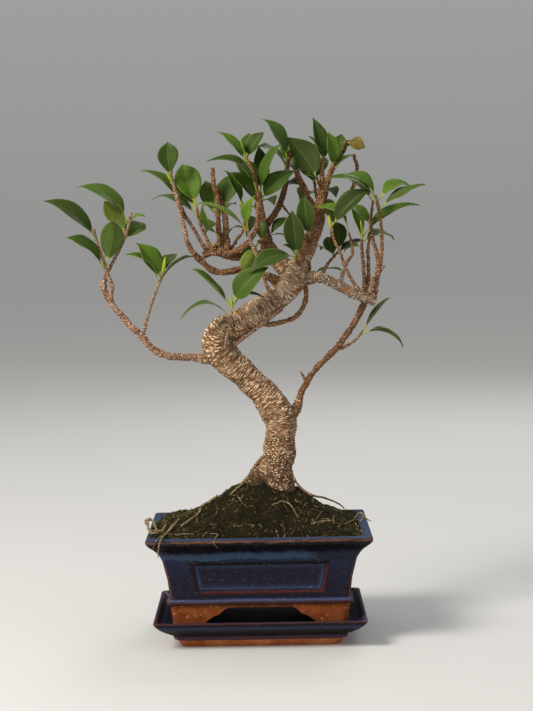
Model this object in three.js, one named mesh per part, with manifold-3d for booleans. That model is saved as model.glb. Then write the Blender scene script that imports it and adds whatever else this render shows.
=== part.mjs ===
// A fig bonsai in a glazed rectangular pot that stands on a glazed saucer.
// Millimetres, +Z up, +X to the right of the picture, +Y away from the viewer.
// The origin is the middle of the saucer's underside, on the table.

import * as THREE from 'three';
import { mergeVertices } from 'three/addons/utils/BufferGeometryUtils.js';
import Module from 'manifold-3d';

const wasm = await Module();
wasm.setup();

// Driving dimensions.
const POT_WIDTH = 200;
const POT_DEPTH = 150;
const POT_TOP = 101;
const POT_UNDERSIDE = 35.5;
const POT_FLOOR = 43;
const SAUCER_WIDTH = 190;
const SAUCER_DEPTH = 142;
const SAUCER_TOP = 26;
const SAUCER_FLOOR = 17;
const CLEARANCE = 0.3; // between two pieces that touch
const MERGE_WITHIN = 1e-4; // points this near are one point
const OVERSHOOT = 1; // how far a cutter reaches past the face that it cuts

// Profiles, each as [height, inset from the outer edge of the rim, corner radius].
const POT_OUTSIDE = [
  [POT_UNDERSIDE, 20, 5],
  [39, 19.5, 5],
  [39.1, 17.2, 5],
  [43, 17.2, 5],
  [45.5, 19.3, 5],
  [50, 18.6, 5],
  [63, 17.6, 5],
  [71, 16.3, 5],
  [79, 14, 4],
  [86, 10.8, 4],
  [92, 5.2, 3],
  [97.5, 0, 2],
  [POT_TOP, 0, 2],
];
const POT_INSIDE = [
  [POT_FLOOR, 26, 10],
  [48, 25.5, 10],
  [63, 24, 11],
  [79, 19, 12],
  [90, 12.5, 12],
  [POT_TOP + OVERSHOOT, 8.5, 12],
];
const FOOT_OUTSIDE = [
  [SAUCER_FLOOR + CLEARANCE, 22.8, 5],
  [39.5, 19.6, 5],
];
const FOOT_INSIDE = [
  [SAUCER_FLOOR - OVERSHOOT, 31, 5],
  [39.5 + OVERSHOOT, 31, 5],
];
const SAUCER_OUTSIDE = [
  [0, 23, 10],
  [6.5, 19.5, 10],
  [7, 17.2, 8],
  [11, 13.5, 7],
  [18, 5.5, 5],
  [23, 0.6, 4],
  [SAUCER_TOP, 0, 4],
];
const SAUCER_INSIDE = [
  [SAUCER_FLOOR, 13, 8],
  [23, 5, 6],
  [SAUCER_TOP + OVERSHOOT, 3.5, 5],
];

// The recessed panel in each side of the pot: its half widths at the bottom and the top.
const PANEL_TOP = 78.5;
const PANEL_BOTTOM = 50;
const PANEL_HALF_FRONT = [57.5, 63];
const PANEL_HALF_SIDE = [32.5, 38];
const PANEL_DEPTH = 1.8;
const PANEL_REACH = 8; // how far outside the wall its cutter starts
const PANEL_BEVEL = 1.2; // how much wider than deep the bevel round the panel is

// The arches between the feet: half width at the crown, at the step and at the floor.
const ARCH_FRONT = [28, 42, 53];
const ARCH_SIDE = [14, 24, 32];
const ARCH_STEP = 26; // height where the arch turns outwards
const ARCH_EASE = 6; // how far beside the crown the curve starts to fall
const ARCH_TOE = 20; // height below which the arch's sides are upright

// Drainage holes and the mesh squares over them.
const HOLE_RADIUS = 8;
const HOLE_SIDES = 20;
const HOLE_PLACES = [-42, 42];
const SCREEN_SIDE = 28;
const SCREEN_THICKNESS = 1.2;
const SCREEN_SLOT = 1.6;
const SCREEN_PITCH = 4;

// The mound of soil and moss: its level at the walls, how far it bulges just inside them, its rise
// in the middle, and where and how widely it rises.
const GROUND_EDGE = 101.5;
const GROUND_BULGE = 6;
const GROUND_RISE = 38;
const GROUND_MIDDLE = [5, 2];
const GROUND_SPREAD = [40, 34];
const MOSS_THICKNESS = 8;
const MOSS_INSET = 11.9;
const MOSS_CORNER = 12;

// How finely round shapes are drawn.
const CORNER_STEPS = 3;
const ARCH_STEPS = 3;
const TRUNK_SIDES = 14;
const WOOD_SIDES = 8;
const STEM_SIDES = 5;
const GROUND_RINGS = 7;

// A leaf along its length, as [part of the length, part of the greatest half width].
const LEAF_OUTLINE = [[0.16, 0.1], [0.34, 0.74], [0.56, 1], [0.8, 0.66], [1, 0.03]];
const PETIOLE_END = 0.14;
const PETIOLE_HALF = 0.65;
const LEAF_HALF_THICKNESS = 0.6;
const LEAF_TAPER = 0.4; // part of the thickness left at the tip
const LEAF_FOLD = 0.22; // how far the edges rise for each millimetre from the midrib

// Wood paths are lists of [x, y, z, radius] along the middle of the stem.
// The trunk from its buried end to its top.
const TRUNK_PATH = [
  [17, 0, 120, 19], [17, 0, 131, 18], [17, 0, 139, 16.2], [17, 0, 153, 13.8], [19, 0, 168, 15],
  [21, -1, 182, 13.8], [21, -2, 196, 14], [14, -3, 211, 14], [2, -5, 226, 12.3], [-12, -7, 241, 12],
  [-26, -9, 254, 13.6], [-34, -10, 266, 14.2], [-31, -10, 278, 13], [-17, -9, 286, 12],
  [-1, -7, 295, 11.5], [15, -4, 306, 11.8], [29, -2, 318, 12.6], [37, 0, 330, 12.4],
  [39, 1, 340, 10.4],
];

// The wood that leaves the trunk, each piece as its main path and then its side paths.
const WOOD = {
  // the limb that rises left of the middle
  limb_upper_left: [
    [
      [33, 1, 331, 8], [25, 2, 338, 8], [18, 5, 346, 7.2], [12, 8, 355, 6.2], [10, 10, 365, 5],
      [9, 10, 375, 3.8],
    ],
  ],
  // the thick limb that rises right of the middle, with its spurs
  limb_upper_right: [
    [
      [41, 1, 337, 8], [46, 1, 350, 6.8], [51, 2, 360, 6.5], [56, 2, 371, 6.2], [59, 3, 386, 5.6],
      [61, 3, 396, 5.2], [63, 4, 408, 4.6],
    ],
    [[63, 4, 405, 2.6], [62, 4, 418, 2.2]],
    [[64, 4, 405, 3.2], [70, 4, 420, 2.6]],
    [[57, 4, 385, 4], [50, 8, 397, 3.2], [45, 11, 408, 2.9]],
    [
      [60, 5, 390, 2.4], [74, 15, 390, 2], [84, 20, 397, 1.9], [91, 22, 408, 1.8], [95, 24, 424, 1.7],
      [92, 25, 438, 1.5],
    ],
    [[53, 0, 364, 3], [47, -4, 363, 2.8], [44, -6, 364, 2.3]],
  ],
  // the right limb, sawn off at its end, with the stubs of its upright shoots
  limb_right: [
    [
      [41, -2, 325, 7.5], [49, -4, 326, 5.6], [57, -6, 327, 4.6], [66, -8, 324, 4.4],
      [76, -10, 319, 4.7], [87, -12, 313, 4.8], [98, -14, 308, 4.4], [108, -15, 304, 3.8],
    ],
    [[96, -14, 311, 1.8], [87, -16, 323, 1.5]],
    [[76, -9, 321, 2], [79, -8, 330, 1.8], [83, -7, 340, 1.6]],
    [[105, -15, 307, 3.3], [108, -15, 318, 3], [111, -15, 333, 2.6], [112, -15, 340, 2.2]],
    [[111, -15, 331, 1.8], [116, -17, 337, 1.5]],
    [[102, -14, 309, 2.6], [105, -18, 318, 2.4], [106, -19, 328, 2.2]],
    [[52, -5, 325, 2.4], [52, -6, 333, 1.8]],
  ],
  // the thin branch that leaves the lower trunk and climbs behind the right limb
  branch_right_low: [
    [
      [31, 0, 200, 5.5], [36, 2, 208, 4.2], [39, 4, 218, 3], [45, 7, 229, 2.7], [53, 9, 241, 2.6],
      [64, 11, 252, 2.6], [74, 12, 262, 2.8], [83, 12, 274, 2.6], [92, 10, 287, 2.6],
      [97, 7, 298, 2.9], [101, 3, 309, 2.8], [100, 1, 318, 2.4],
    ],
    [[99, 1, 314, 1.8], [99, 0, 325, 1.7]],
    [
      [101, 2, 314, 2.2], [103, 3, 325, 1.9], [103, 3, 340, 1.6], [103, 3, 352, 1.4],
      [105, 2, 363, 1.2],
    ],
    [[77, 12, 260, 1.6], [86, 11, 265, 1.2]],
    [[46, 7, 230, 1.4], [42, 5, 237, 1], [40, 4, 241, 0.8]],
  ],
  // the long thin branch that leaves the knee of the trunk
  branch_left_long: [
    [
      [-37, -10, 255, 5], [-47, -12, 255, 4], [-60, -14, 257, 3.2], [-73, -16, 258, 3.1],
      [-84, -17, 260, 3], [-94, -18, 266, 2.9], [-103, -19, 277, 2.8], [-113, -20, 287, 2.7],
      [-122, -20, 298, 2.5], [-130, -20, 309, 2.6], [-135, -20, 318, 2.8], [-137, -20, 327, 2.3],
    ],
    [[-130, -20, 310, 1.9], [-128, -21, 321, 1.7]],
    [[-135, -20, 320, 1.9], [-134, -17, 331, 1.6], [-129, -16, 340, 1.5]],
    [[-102, -19, 276, 1.8], [-99, -18, 287, 1.3]],
  ],
  // the level branch on the left, sawn off at its end
  branch_left_mid: [
    [
      [16, 6, 349, 4.5], [3, 7, 347, 4.2], [-9, 5, 347, 4.3], [-21, 3, 348, 4.6], [-32, 0, 351, 4.6],
      [-40, -2, 351, 3.5], [-47, -3, 348, 2.8],
    ],
    [[-42, -2, 351, 2.2], [-48, -6, 359, 1.7]],
    [[-38, -2, 351, 2], [-41, -4, 358, 1.6]],
    [[-33, 0, 352, 3], [-32, 0, 364, 2.4]],
    [[-25, 3, 351, 3.6], [-26, 4, 364, 2.9]],
    [[-24, -1, 349, 2.6], [-13, -6, 354, 2.3], [-5, -9, 360, 2.2]],
    [[-23, 4, 352, 1.8], [-17, 6, 360, 1.3]],
    [[-37, -3, 353, 3], [-38, -4, 358, 2.4]],
  ],
  // the arching branch in front of the level one
  branch_left_arc: [
    [
      [23, -6, 324, 4], [12, -9, 328, 3.2], [-3, -11, 333, 3], [-13, -12, 335, 3], [-27, -12, 333, 3],
      [-38, -12, 335, 2.9], [-47, -12, 342, 2.6], [-55, -13, 351, 2.3], [-61, -13, 362, 2],
    ],
  ],
  // the root that loops under the upper trunk
  aerial_root: [
    [
      [45, -3, 322, 2.6], [46, -4, 310, 2], [43, -5, 300, 2], [37, -6, 292, 1.9], [30, -7, 289, 1.9],
      [20, -7, 286, 2], [11, -8, 285, 2.2], [2, -8, 288, 2.4],
    ],
  ],
};

// The leafy shoots. Each leaf is [base, tip, width, the way its upper face looks, arch].
const SHOOTS = {
  far_left_low: {
    stems: [
      [
        [-128, -21, 322, 1.7], [-131, -22, 331, 1.6], [-134, -23, 342, 1.5], [-138, -24, 354, 1.4],
        [-141, -24, 364, 1.3], [-143, -24, 374, 1.1],
      ],
    ],
    leaves: [
      [[-140, -24, 363], [-185, -34, 400], 22, [0.15, -0.6, 0.8], 0.12],
      [[-135, -23, 338], [-166, -40, 367], 19, [0.25, -0.5, 0.8], 0.12],
      [[-133, -23, 340], [-124, -42, 381], 23, [0.1, 0.8, 0.6], 0.1],
    ],
  },
  far_left_high: {
    stems: [
      [
        [-129, -16, 341, 1.5], [-121, -15, 356, 1.5], [-115, -14, 369, 1.4], [-112, -13, 379, 1.3],
        [-110, -13, 389, 1.1],
      ],
    ],
    leaves: [
      [[-115, -14, 367], [-133, -28, 399], 17, [-0.2, 0.7, 0.7], 0.1],
      [[-113, -13, 376], [-159, -8, 412], 22, [0.1, -0.5, 0.8], 0.22],
      [[-111, -13, 380], [-98, -18, 385], 7, [-0.3, -0.5, 0.8], 0.15],
      [[-117, -14, 363], [-101, 6, 379], 20, [-0.1, -0.9, 0.4], 0.1],
    ],
  },
  left_lower: {
    stems: [
      [
        [-99, -18, 288, 1.3], [-96, -17, 298, 1.2], [-90, -17, 315, 1.2], [-85, -17, 326, 1.1],
        [-84, -17, 331, 0.9],
      ],
    ],
    leaves: [
      [[-87, -17, 321], [-116, -30, 351], 16, [0.3, -0.2, 0.9], 0.2],
      [[-84, -17, 327], [-105, -22, 361], 20, [0.4, -0.8, 0.5], 0.08],
      [[-84, -17, 330], [-80, -17, 348], 5, [0, -1, 0.2], 0],
      [[-84, -16, 330], [-71, 8, 350], 16, [-0.3, -0.6, 0.7], 0.1],
      [[-86, -16, 323], [-56, 0, 348], 14, [-0.4, 0.1, 0.9], 0.12],
    ],
  },
  left_tall: {
    stems: [
      [
        [-61, -13, 363, 2], [-64, -13, 378, 1.9], [-67, -14, 393, 1.8], [-70, -14, 406, 1.7],
        [-73, -14, 416, 1.6], [-74, -14, 429, 1.4],
      ],
    ],
    leaves: [
      [[-74, -14, 418], [-76, -16, 450], 20, [0, -1, 0.2], 0.05],
      [[-72, -14, 413], [-78, -19, 424], 4, [0, -1, 0.2], 0],
    ],
  },
  left_inner: {
    stems: [
      [
        [-48, -6, 360, 1.6], [-54, -8, 371, 1.5], [-60, -9, 381, 1.4], [-65, -8, 391, 1.3],
        [-69, -7, 399, 1.1],
      ],
    ],
    leaves: [
      [[-68, -7, 398], [-100, -12, 426], 18, [0.4, -0.5, 0.8], 0.1],
    ],
  },
  left_crown: {
    stems: [
      [
        [-41, -4, 358, 1.5], [-45, -5, 367, 1.4], [-49, -7, 378, 1.3], [-51, -8, 388, 1.2],
        [-52, -8, 394, 1],
      ],
    ],
    leaves: [
      [[-52, -8, 392], [-64, 2, 431], 25, [0.2, -0.9, 0.4], 0.05],
      [[-50, -6, 381], [-94, 22, 400], 14, [0.2, -0.5, 0.8], 0.2],
      [[-52, -7, 389], [-72, 14, 419], 20, [0.3, -0.8, 0.6], 0.1],
    ],
  },
  mid_stub_left: {
    stems: [
      [
        [-32, 0, 365, 2.3], [-33, 1, 384, 2.2], [-33, 1, 398, 2.2], [-36, 1, 412, 2.1],
        [-37, 1, 427, 1.9],
      ],
    ],
    leaves: [
      [[-32, -1, 365], [-46, -16, 395], 13, [-0.6, -0.5, 0.6], 0.08],
      [[-34, 2, 384], [-44, 14, 416], 17, [0, -1, 0.2], 0.1],
    ],
  },
  mid_stub_right: {
    stems: [
      [
        [-26, 4, 365, 2.8], [-26, 4, 378, 2.7], [-28, 5, 391, 2], [-31, 6, 402, 1.7],
        [-32, 6, 408, 1.5],
      ],
    ],
    leaves: [
      [[-27, 5, 389], [-19, 24, 422], 22, [-0.2, -0.9, 0.3], 0.1],
    ],
  },
  mid_thin: {
    stems: [
      [
        [-17, 6, 361, 1.3], [-11, 7, 369, 1.2], [-9, 7, 378, 1.1], [-10, 7, 387, 1.1],
        [-12, 7, 399, 0.9],
      ],
    ],
    leaves: [
      [[-11, 7, 391], [-27, 4, 426], 13, [0.6, -0.5, 0.5], 0.1],
    ],
  },
  centre_left: {
    stems: [
      [
        [-4, -9, 361, 2.2], [2, -10, 372, 2.2], [4, -10, 387, 2.1], [4, -9, 399, 2], [2, -8, 411, 1.8],
        [0, -7, 422, 1.6], [-4, -6, 431, 1.2], [-6, -6, 436, 0.9],
      ],
    ],
    leaves: [
      [[3, -9, 403], [-40, -32, 433], 17, [0.3, -0.3, 0.9], 0.22],
      [[3, -8, 405], [-18, 6, 435], 20, [0.4, -0.8, 0.5], 0.08],
      [[4, -9, 392], [-20, -10, 423], 17, [0.5, -0.6, 0.6], 0.08],
      [[-6, -6, 431], [-33, -2, 460], 16, [0.5, -0.6, 0.6], 0.1],
      [[-6, -6, 434], [-12, -14, 451], 8, [0.9, -0.2, 0.2], 0],
      [[-6, -5, 435], [-3, 8, 458], 14, [0, -1, 0.3], 0.05],
      [[-6, -6, 434], [10, -8, 458], 16, [-0.4, -0.8, 0.5], 0.08],
    ],
  },
  centre: {
    stems: [
      [[9, 9, 377, 2.6], [7, 5, 387, 2.3], [6, 1, 397, 1.9], [6, -2, 405, 1.2]],
    ],
    leaves: [
      [[6, -2, 403], [23, -22, 446], 17, [-0.8, -0.6, 0.3], 0.05],
      [[6, 0, 397], [37, -12, 423], 19, [-0.2, -0.8, 0.5], 0.12],
      [[6, 0, 402], [5, 14, 448], 16, [0.3, -0.9, 0.2], 0.05],
    ],
  },
  centre_right: {
    stems: [
      [
        [12, 12, 376, 3.2], [19, 13, 385, 2.9], [25, 13, 397, 2.6], [29, 13, 412, 2.5],
        [31, 13, 428, 2], [33, 13, 442, 1.6],
      ],
      [[25, 13, 394, 1.2], [29, 13, 388, 1], [34, 14, 382, 0.9]],
    ],
    leaves: [
      [[30, 12, 424], [5, -8, 446], 24, [0.3, -0.5, 0.8], 0.15],
      [[31, 12, 433], [8, 8, 472], 22, [0.6, -0.6, 0.5], 0.1],
      [[32, 14, 429], [31, 26, 451], 16, [0, -1, 0.2], 0.05],
      [[32, 13, 433], [56, 26, 442], 16, [0, -0.3, 1], 0.08],
      [[33, 14, 383], [15, 12, 367], 11, [0.4, -0.2, 0.9], 0.05],
    ],
  },
  front_centre: {
    stems: [
      [
        [18, -15, 305, 1.9], [12, -17, 316, 1.6], [8, -19, 327, 1.5], [4, -21, 342, 1.4],
        [-1, -22, 354, 1.3], [-4, -23, 363, 1.2], [-6, -24, 372, 0.9],
      ],
    ],
    leaves: [
      [[-6, -24, 371], [-50, -36, 396], 14, [0.5, -0.3, 0.8], 0.08],
      [[-6, -24, 372], [1, -34, 401], 14, [-0.7, -0.7, 0.3], 0.1],
      [[-6, -23, 370], [-24, -12, 367], 9, [0.1, -0.3, 0.9], 0.25],
    ],
  },
  centre_low: {
    stems: [
      [[10, 5, 358, 1.8], [7, 0, 359, 1.5], [3, -4, 360, 1.2]],
    ],
    leaves: [
      [[4, -4, 360], [-11, -25, 333], 15, [0.1, 0.9, 0.3], 0.1],
      [[4, -2, 359], [-13, 3, 340], 14, [0, -1, 0.2], 0.1],
      [[7, 0, 359], [4, 4, 380], 12, [0, -1, 0.2], 0.1],
    ],
  },
  front_left: {
    stems: [
      [
        [-28, -24, 265, 1.3], [-27, -26, 272, 1.2], [-25, -26, 280, 1.2], [-22, -26, 289, 1.2],
        [-21, -26, 298, 1.1], [-21, -26, 304, 0.9],
      ],
    ],
    leaves: [
      [[-23, -26, 293], [-66, -40, 295], 15, [0, -0.2, 1], 0.28],
      [[-22, -26, 303], [-56, -30, 338], 16, [0.6, -0.3, 0.7], 0.03],
      [[-21, -26, 304], [12, -36, 338], 24, [-0.3, -0.9, 0.4], 0.12],
      [[-21, -26, 297], [8, -34, 311], 10, [-0.1, -0.2, 0.9], 0.3],
      [[-21, -26, 300], [-22, -29, 312], 4, [0, -1, 0.2], 0],
    ],
  },
  upper_right_spur: {
    stems: [
      [[61, 0, 408, 1.7], [58, -4, 413, 1.3], [57, -5, 418, 1]],
    ],
    leaves: [
      [[58, -3, 413], [30, 4, 454], 27, [0.3, 0.8, 0.4], 0.1],
      [[58, -4, 413], [47, -14, 419], 9, [0.2, -0.5, 0.8], 0.1],
    ],
  },
  upper_fork: {
    stems: [
      [[45, 11, 409, 2.8], [41, 13, 417, 2.6], [39, 14, 424, 2.2]],
    ],
    leaves: [
      [[44, 12, 410], [28, 30, 410], 14, [0, -0.5, 0.8], 0.1],
      [[40, 14, 419], [32, 44, 436], 20, [0.2, -0.7, 0.6], 0.1],
    ],
  },
  crown_left: {
    stems: [
      [[62, 4, 419, 2.1], [63, 4, 428, 1.8], [64, 4, 436, 1.2]],
    ],
    leaves: [
      [[64, 4, 434], [50, -6, 454], 11, [0.7, -0.4, 0.6], 0.05],
      [[64, 4, 433], [55, 12, 448], 8, [0.8, -0.1, 0.5], 0.05],
      [[64, 4, 427], [55, 10, 471], 17, [0.6, -0.8, 0.2], 0.06],
    ],
  },
  crown_right: {
    stems: [
      [[70, 4, 421, 2.4], [75, 4, 431, 2.2], [80, 5, 440, 1.8], [85, 6, 450, 1.3]],
    ],
    leaves: [
      [[72, 3, 425], [68, -8, 457], 15, [0.4, -0.9, 0.3], 0.06],
      [[73, 6, 427], [81, 16, 456], 17, [-0.1, -0.9, 0.3], 0.05],
      [[82, 5, 442], [92, 12, 450], 10, [-0.3, -0.6, 0.7], 0.05],
      [[85, 6, 448], [101, 0, 443], 13, [0.2, -0.9, 0.3], 0.1],
      [[74, 3, 425], [89, -6, 436], 11, [-0.3, -0.3, 0.9], 0.08],
    ],
  },
  trunk_top: {
    stems: [
      [[40, -8, 338, 2], [38, -12, 343, 1.6], [37, -13, 347, 1.2]],
    ],
    leaves: [
      [[38, -12, 345], [34, -18, 387], 20, [-0.1, -1, 0.1], 0.06],
      [[37, -13, 345], [-4, -38, 334], 19, [0.1, -0.7, 0.7], 0.18],
      [[37, -13, 346], [25, -24, 357], 8, [0.5, -0.3, 0.8], 0.1],
      [[38, -11, 346], [16, 2, 366], 10, [0.4, -0.3, 0.8], 0.25],
    ],
  },
  upper_right_low: {
    stems: [
      [[52, -4, 360, 1.6], [50, -8, 363, 1.2]],
    ],
    leaves: [
      [[50, -7, 362], [45, -10, 401], 17, [-0.3, -0.9, 0.2], 0.08],
    ],
  },
  right_inner: {
    stems: [
      [
        [87, -16, 324, 1.4], [81, -17, 336, 1.4], [76, -18, 350, 1.3], [71, -18, 362, 1.2],
        [69, -18, 373, 1],
      ],
    ],
    leaves: [
      [[69, -18, 372], [103, -26, 405], 21, [-0.4, -0.8, 0.5], 0.1],
      [[69, -18, 371], [67, -18, 383], 4, [0, -1, 0.2], 0],
    ],
  },
  right_second: {
    stems: [
      [[83, -7, 340, 1.5], [88, -7, 347, 1.3], [88, -6, 355, 1.2], [85, -6, 367, 1]],
    ],
    leaves: [
      [[85, -6, 366], [53, -6, 389], 17, [0.3, -0.3, 0.9], 0.28],
    ],
  },
  right_third: {
    stems: [
      [[99, 0, 326, 1.7], [98, -1, 340, 1.5], [97, -2, 353, 1.4], [97, -3, 361, 1]],
    ],
    leaves: [
      [[97, -3, 359], [87, 4, 392], 14, [0.8, -0.6, 0.2], 0.05],
      [[97, -3, 360], [96, -3, 378], 4, [0, -1, 0.2], 0],
      [[97, -2, 361], [150, 8, 391], 15, [-0.2, -0.5, 0.8], 0.15],
      [[97, -2, 354], [81, 14, 349], 12, [0, -0.3, 0.9], 0.1],
      [[97, 0, 357], [129, 30, 360], 14, [0, -0.4, 0.9], 0.15],
    ],
  },
  right_fourth: {
    stems: [
      [
        [111, -12, 341, 1.8], [109, -12, 351, 1.6], [106, -13, 362, 1.5], [105, -12, 376, 1.4],
        [106, -12, 388, 1.2], [107, -12, 395, 0.9],
      ],
    ],
    leaves: [
      [[105, -12, 372], [83, -4, 393], 17, [0.4, -0.6, 0.7], 0.12],
      [[107, -12, 393], [81, 14, 421], 13, [0.2, -0.6, 0.8], 0.1],
    ],
  },
  right_outer: {
    stems: [
      [
        [113, -17, 341, 1.7], [114, -17, 351, 1.6], [114, -17, 364, 1.5], [113, -17, 379, 1.4],
        [111, -16, 390, 1.3], [109, -16, 400, 1],
      ],
    ],
    leaves: [
      [[111, -16, 394], [143, 0, 407], 18, [-0.1, -0.5, 0.9], 0.22],
      [[112, -16, 389], [152, -26, 409], 14, [-0.3, -0.5, 0.8], 0.02],
      [[110, -16, 394], [66, -30, 416], 15, [0.2, -0.4, 0.9], 0.18],
      [[110, -16, 396], [80, -8, 418], 16, [0.2, -0.4, 0.9], 0.2],
    ],
  },
  right_rear: {
    stems: [
      [[61, 1, 330, 1.6], [65, 3, 337, 1.3], [70, 8, 343, 1.2], [76, 14, 349, 1]],
    ],
    leaves: [
      [[73, 14, 345], [66, 22, 363], 14, [0, -1, 0.2], 0.1],
      [[76, 15, 348], [76, 28, 377], 16, [0, -0.9, 0.4], 0.1],
      [[75, 14, 347], [101, 24, 359], 12, [0, -0.3, 0.9], 0.1],
      [[73, 14, 344], [61, 42, 352], 16, [0, -0.3, 0.9], 0.15],
    ],
  },
  right_under: {
    stems: [
      [[53, 0, 327, 1.5], [52, 6, 329, 1.1]],
    ],
    leaves: [
      [[52, 6, 329], [81, 22, 331], 13, [0, 0.1, 1], 0.12],
      [[52, 5, 329], [39, 30, 331], 15, [0, -0.3, 0.9], 0.15],
    ],
  },
  right_low: {
    stems: [
      [[86, 11, 265, 1.2], [91, 9, 269, 1.2], [96, 8, 275, 1.1], [97, 8, 278, 0.9]],
    ],
    leaves: [
      [[97, 8, 277], [121, -2, 308], 16, [-0.8, -0.2, 0.6], 0],
      [[96, 8, 274], [134, 0, 263], 14, [0, -0.1, 1], 0.2],
    ],
  },
  rear_left: {
    stems: [
      [[10, 13, 368, 2], [7, 24, 377, 1.6], [3, 34, 387, 1.4], [2, 41, 398, 1.2], [1, 45, 407, 1]],
    ],
    leaves: [
      [[2, 42, 399], [-15, 62, 417], 20, [0.3, -0.5, 0.8], 0.12],
      [[1, 45, 405], [15, 58, 428], 20, [-0.3, -0.6, 0.7], 0.1],
      [[1, 45, 405], [-5, 36, 435], 18, [0.2, -0.8, 0.5], 0.1],
      [[3, 34, 388], [-10, 66, 387], 20, [0.1, -0.2, 0.9], 0.15],
      [[3, 37, 392], [19, 66, 394], 20, [-0.1, -0.1, 1], 0.15],
      [[6, 27, 379], [-8, 56, 365], 18, [0.1, 0.2, 0.9], 0.2],
    ],
  },
  rear_right: {
    stems: [
      [[58, 8, 384, 2], [59, 20, 392, 1.6], [57, 32, 404, 1.4], [56, 40, 415, 1.1]],
    ],
    leaves: [
      [[57, 37, 410], [43, 56, 433], 20, [0.2, -0.6, 0.7], 0.1],
      [[56, 40, 414], [68, 52, 436], 20, [-0.2, -0.6, 0.7], 0.1],
      [[58, 29, 401], [77, 60, 401], 20, [-0.1, -0.1, 1], 0.15],
      [[57, 31, 402], [43, 64, 397], 20, [0.1, 0, 1], 0.15],
      [[58, 25, 397], [74, 50, 376], 18, [0, 0.2, 0.9], 0.2],
    ],
  },
  rear_mid: {
    stems: [
      [[-27, 3, 351, 1.8], [-30, 17, 362, 1.5], [-32, 25, 373, 1.3], [-33, 31, 384, 1]],
    ],
    leaves: [
      [[-33, 30, 381], [-47, 50, 395], 18, [0.3, -0.4, 0.8], 0.12],
      [[-33, 31, 382], [-17, 52, 395], 18, [-0.3, -0.3, 0.9], 0.12],
      [[-32, 26, 374], [-46, 54, 369], 18, [0.1, 0.1, 1], 0.18],
    ],
  },
};

// Roots on the ground, as [x, y, height over the moss, radius].
const GROUND_ROOTS = {
  root_left: [
    [-37, -3, 0, 1.5], [-44, -5, 0.3, 1.4], [-51, -5, 0.3, 1.3], [-54.5, -22, 0.3, 1.2],
    [-62, -33, 0.3, 1.1], [-69, -45, 0.2, 0.9],
  ],
  root_right: [
    [46, -2, 0.4, 1.3], [52, 3, 1.2, 1.2], [58, 8, 3.4, 1.1], [65, 16, 4.4, 1], [71, 24, 4.4, 0.9],
    [76, 32, 3, 0.8], [80, 38, 0.3, 0.7],
  ],
};

// The root that creeps over the left front corner of the pot.
const CORNER_ROOT = [
  [-72.7, -17, 110, 1.3], [-76.3, -35.5, 108, 1.4], [-79.1, -51, 106.3, 1.4],
  [-82.2, -59.5, 104.4, 1.3], [-84.5, -69, 103.7, 1.2], [-86, -76.5, 102.6, 1.1],
  [-87.6, -77.2, 96.5, 0.9], [-88.3, -76.8, 91, 0.8], [-88.8, -76.2, 86.1, 0.7],
];

// Roots that leave the foot of the trunk and belong to it.
const TRUNK_ROOTS = [
  [
    [9, -4, 168, 2.6], [0.5, -6, 160, 2.2], [-5, -7, 153, 2.1], [-9, -8, 147, 2],
    [-14, -9, 141.5, 1.9], [-21, -10, 135, 1.7], [-28, -11, 129, 1.5],
  ],
  [[12, -3, 158, 7], [5, -5, 151, 7], [-2, -7, 144, 6], [-8, -8, 138, 5]],
  [
    [27, -4, 164, 2], [30, -5, 153, 1.8], [32, -6, 144.5, 1.7], [37, -6, 137, 1.6],
    [43, -5, 131, 1.4], [49, -3, 127, 1.2],
  ],
];

const MATERIALS = {
  glaze: { color: 0x23264a, roughness: 0.28, metalness: 0 },
  soil: { color: 0x2b2019, roughness: 0.95, metalness: 0 },
  moss: { color: 0x4a4c22, roughness: 0.95, metalness: 0 },
  mesh: { color: 0x1c1c1c, roughness: 0.6, metalness: 0 },
  bark: { color: 0x8d7d6c, roughness: 0.8, metalness: 0 },
  twig: { color: 0x7d6152, roughness: 0.75, metalness: 0 },
  root: { color: 0xb09a80, roughness: 0.85, metalness: 0 },
  leaf: { color: 0x2f4a24, roughness: 0.4, metalness: 0 },
};

/** The solid inside a closed geometry. */
function solid(geometry) {
  const bare = geometry.clone();
  bare.deleteAttribute('normal');
  bare.deleteAttribute('uv');
  const merged = mergeVertices(bare, MERGE_WITHIN);
  return new wasm.Manifold(new wasm.Mesh({
    numProp: 3,
    vertProperties: merged.getAttribute('position').array,
    triVerts: new Uint32Array(merged.getIndex().array),
  }));
}

/** The middle of a ring of points. */
function middleOf(ring) {
  const sum = new THREE.Vector3();
  ring.forEach((point) => sum.add(point));
  return sum.divideScalar(ring.length);
}

/** A skin over rings with the same number of points each, closed at both ends and facing out. */
function loft(rings) {
  const sides = rings[0].length;
  const last = rings.length - 1;
  const points = [...rings.flat(), middleOf(rings[0]), middleOf(rings[last])];
  const faces = [];
  for (let i = 0; i < sides; i += 1) {
    const j = (i + 1) % sides;
    for (let k = 0; k < last; k += 1) {
      const a = k * sides + i;
      const b = k * sides + j;
      faces.push([a, b, b + sides], [a, b + sides, a + sides]);
    }
    faces.push([j, i, points.length - 2]);
    faces.push([last * sides + i, last * sides + j, points.length - 1]);
  }
  const cross = new THREE.Vector3();
  const volume = faces.reduce((sum, [a, b, c]) => (
    sum + points[a].dot(cross.crossVectors(points[b], points[c]))
  ), 0);
  const order = volume > 0 ? faces : faces.map(([a, b, c]) => [a, c, b]);
  const geometry = new THREE.BufferGeometry().setFromPoints(points);
  geometry.setIndex(order.flat());
  return solid(geometry);
}

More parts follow.
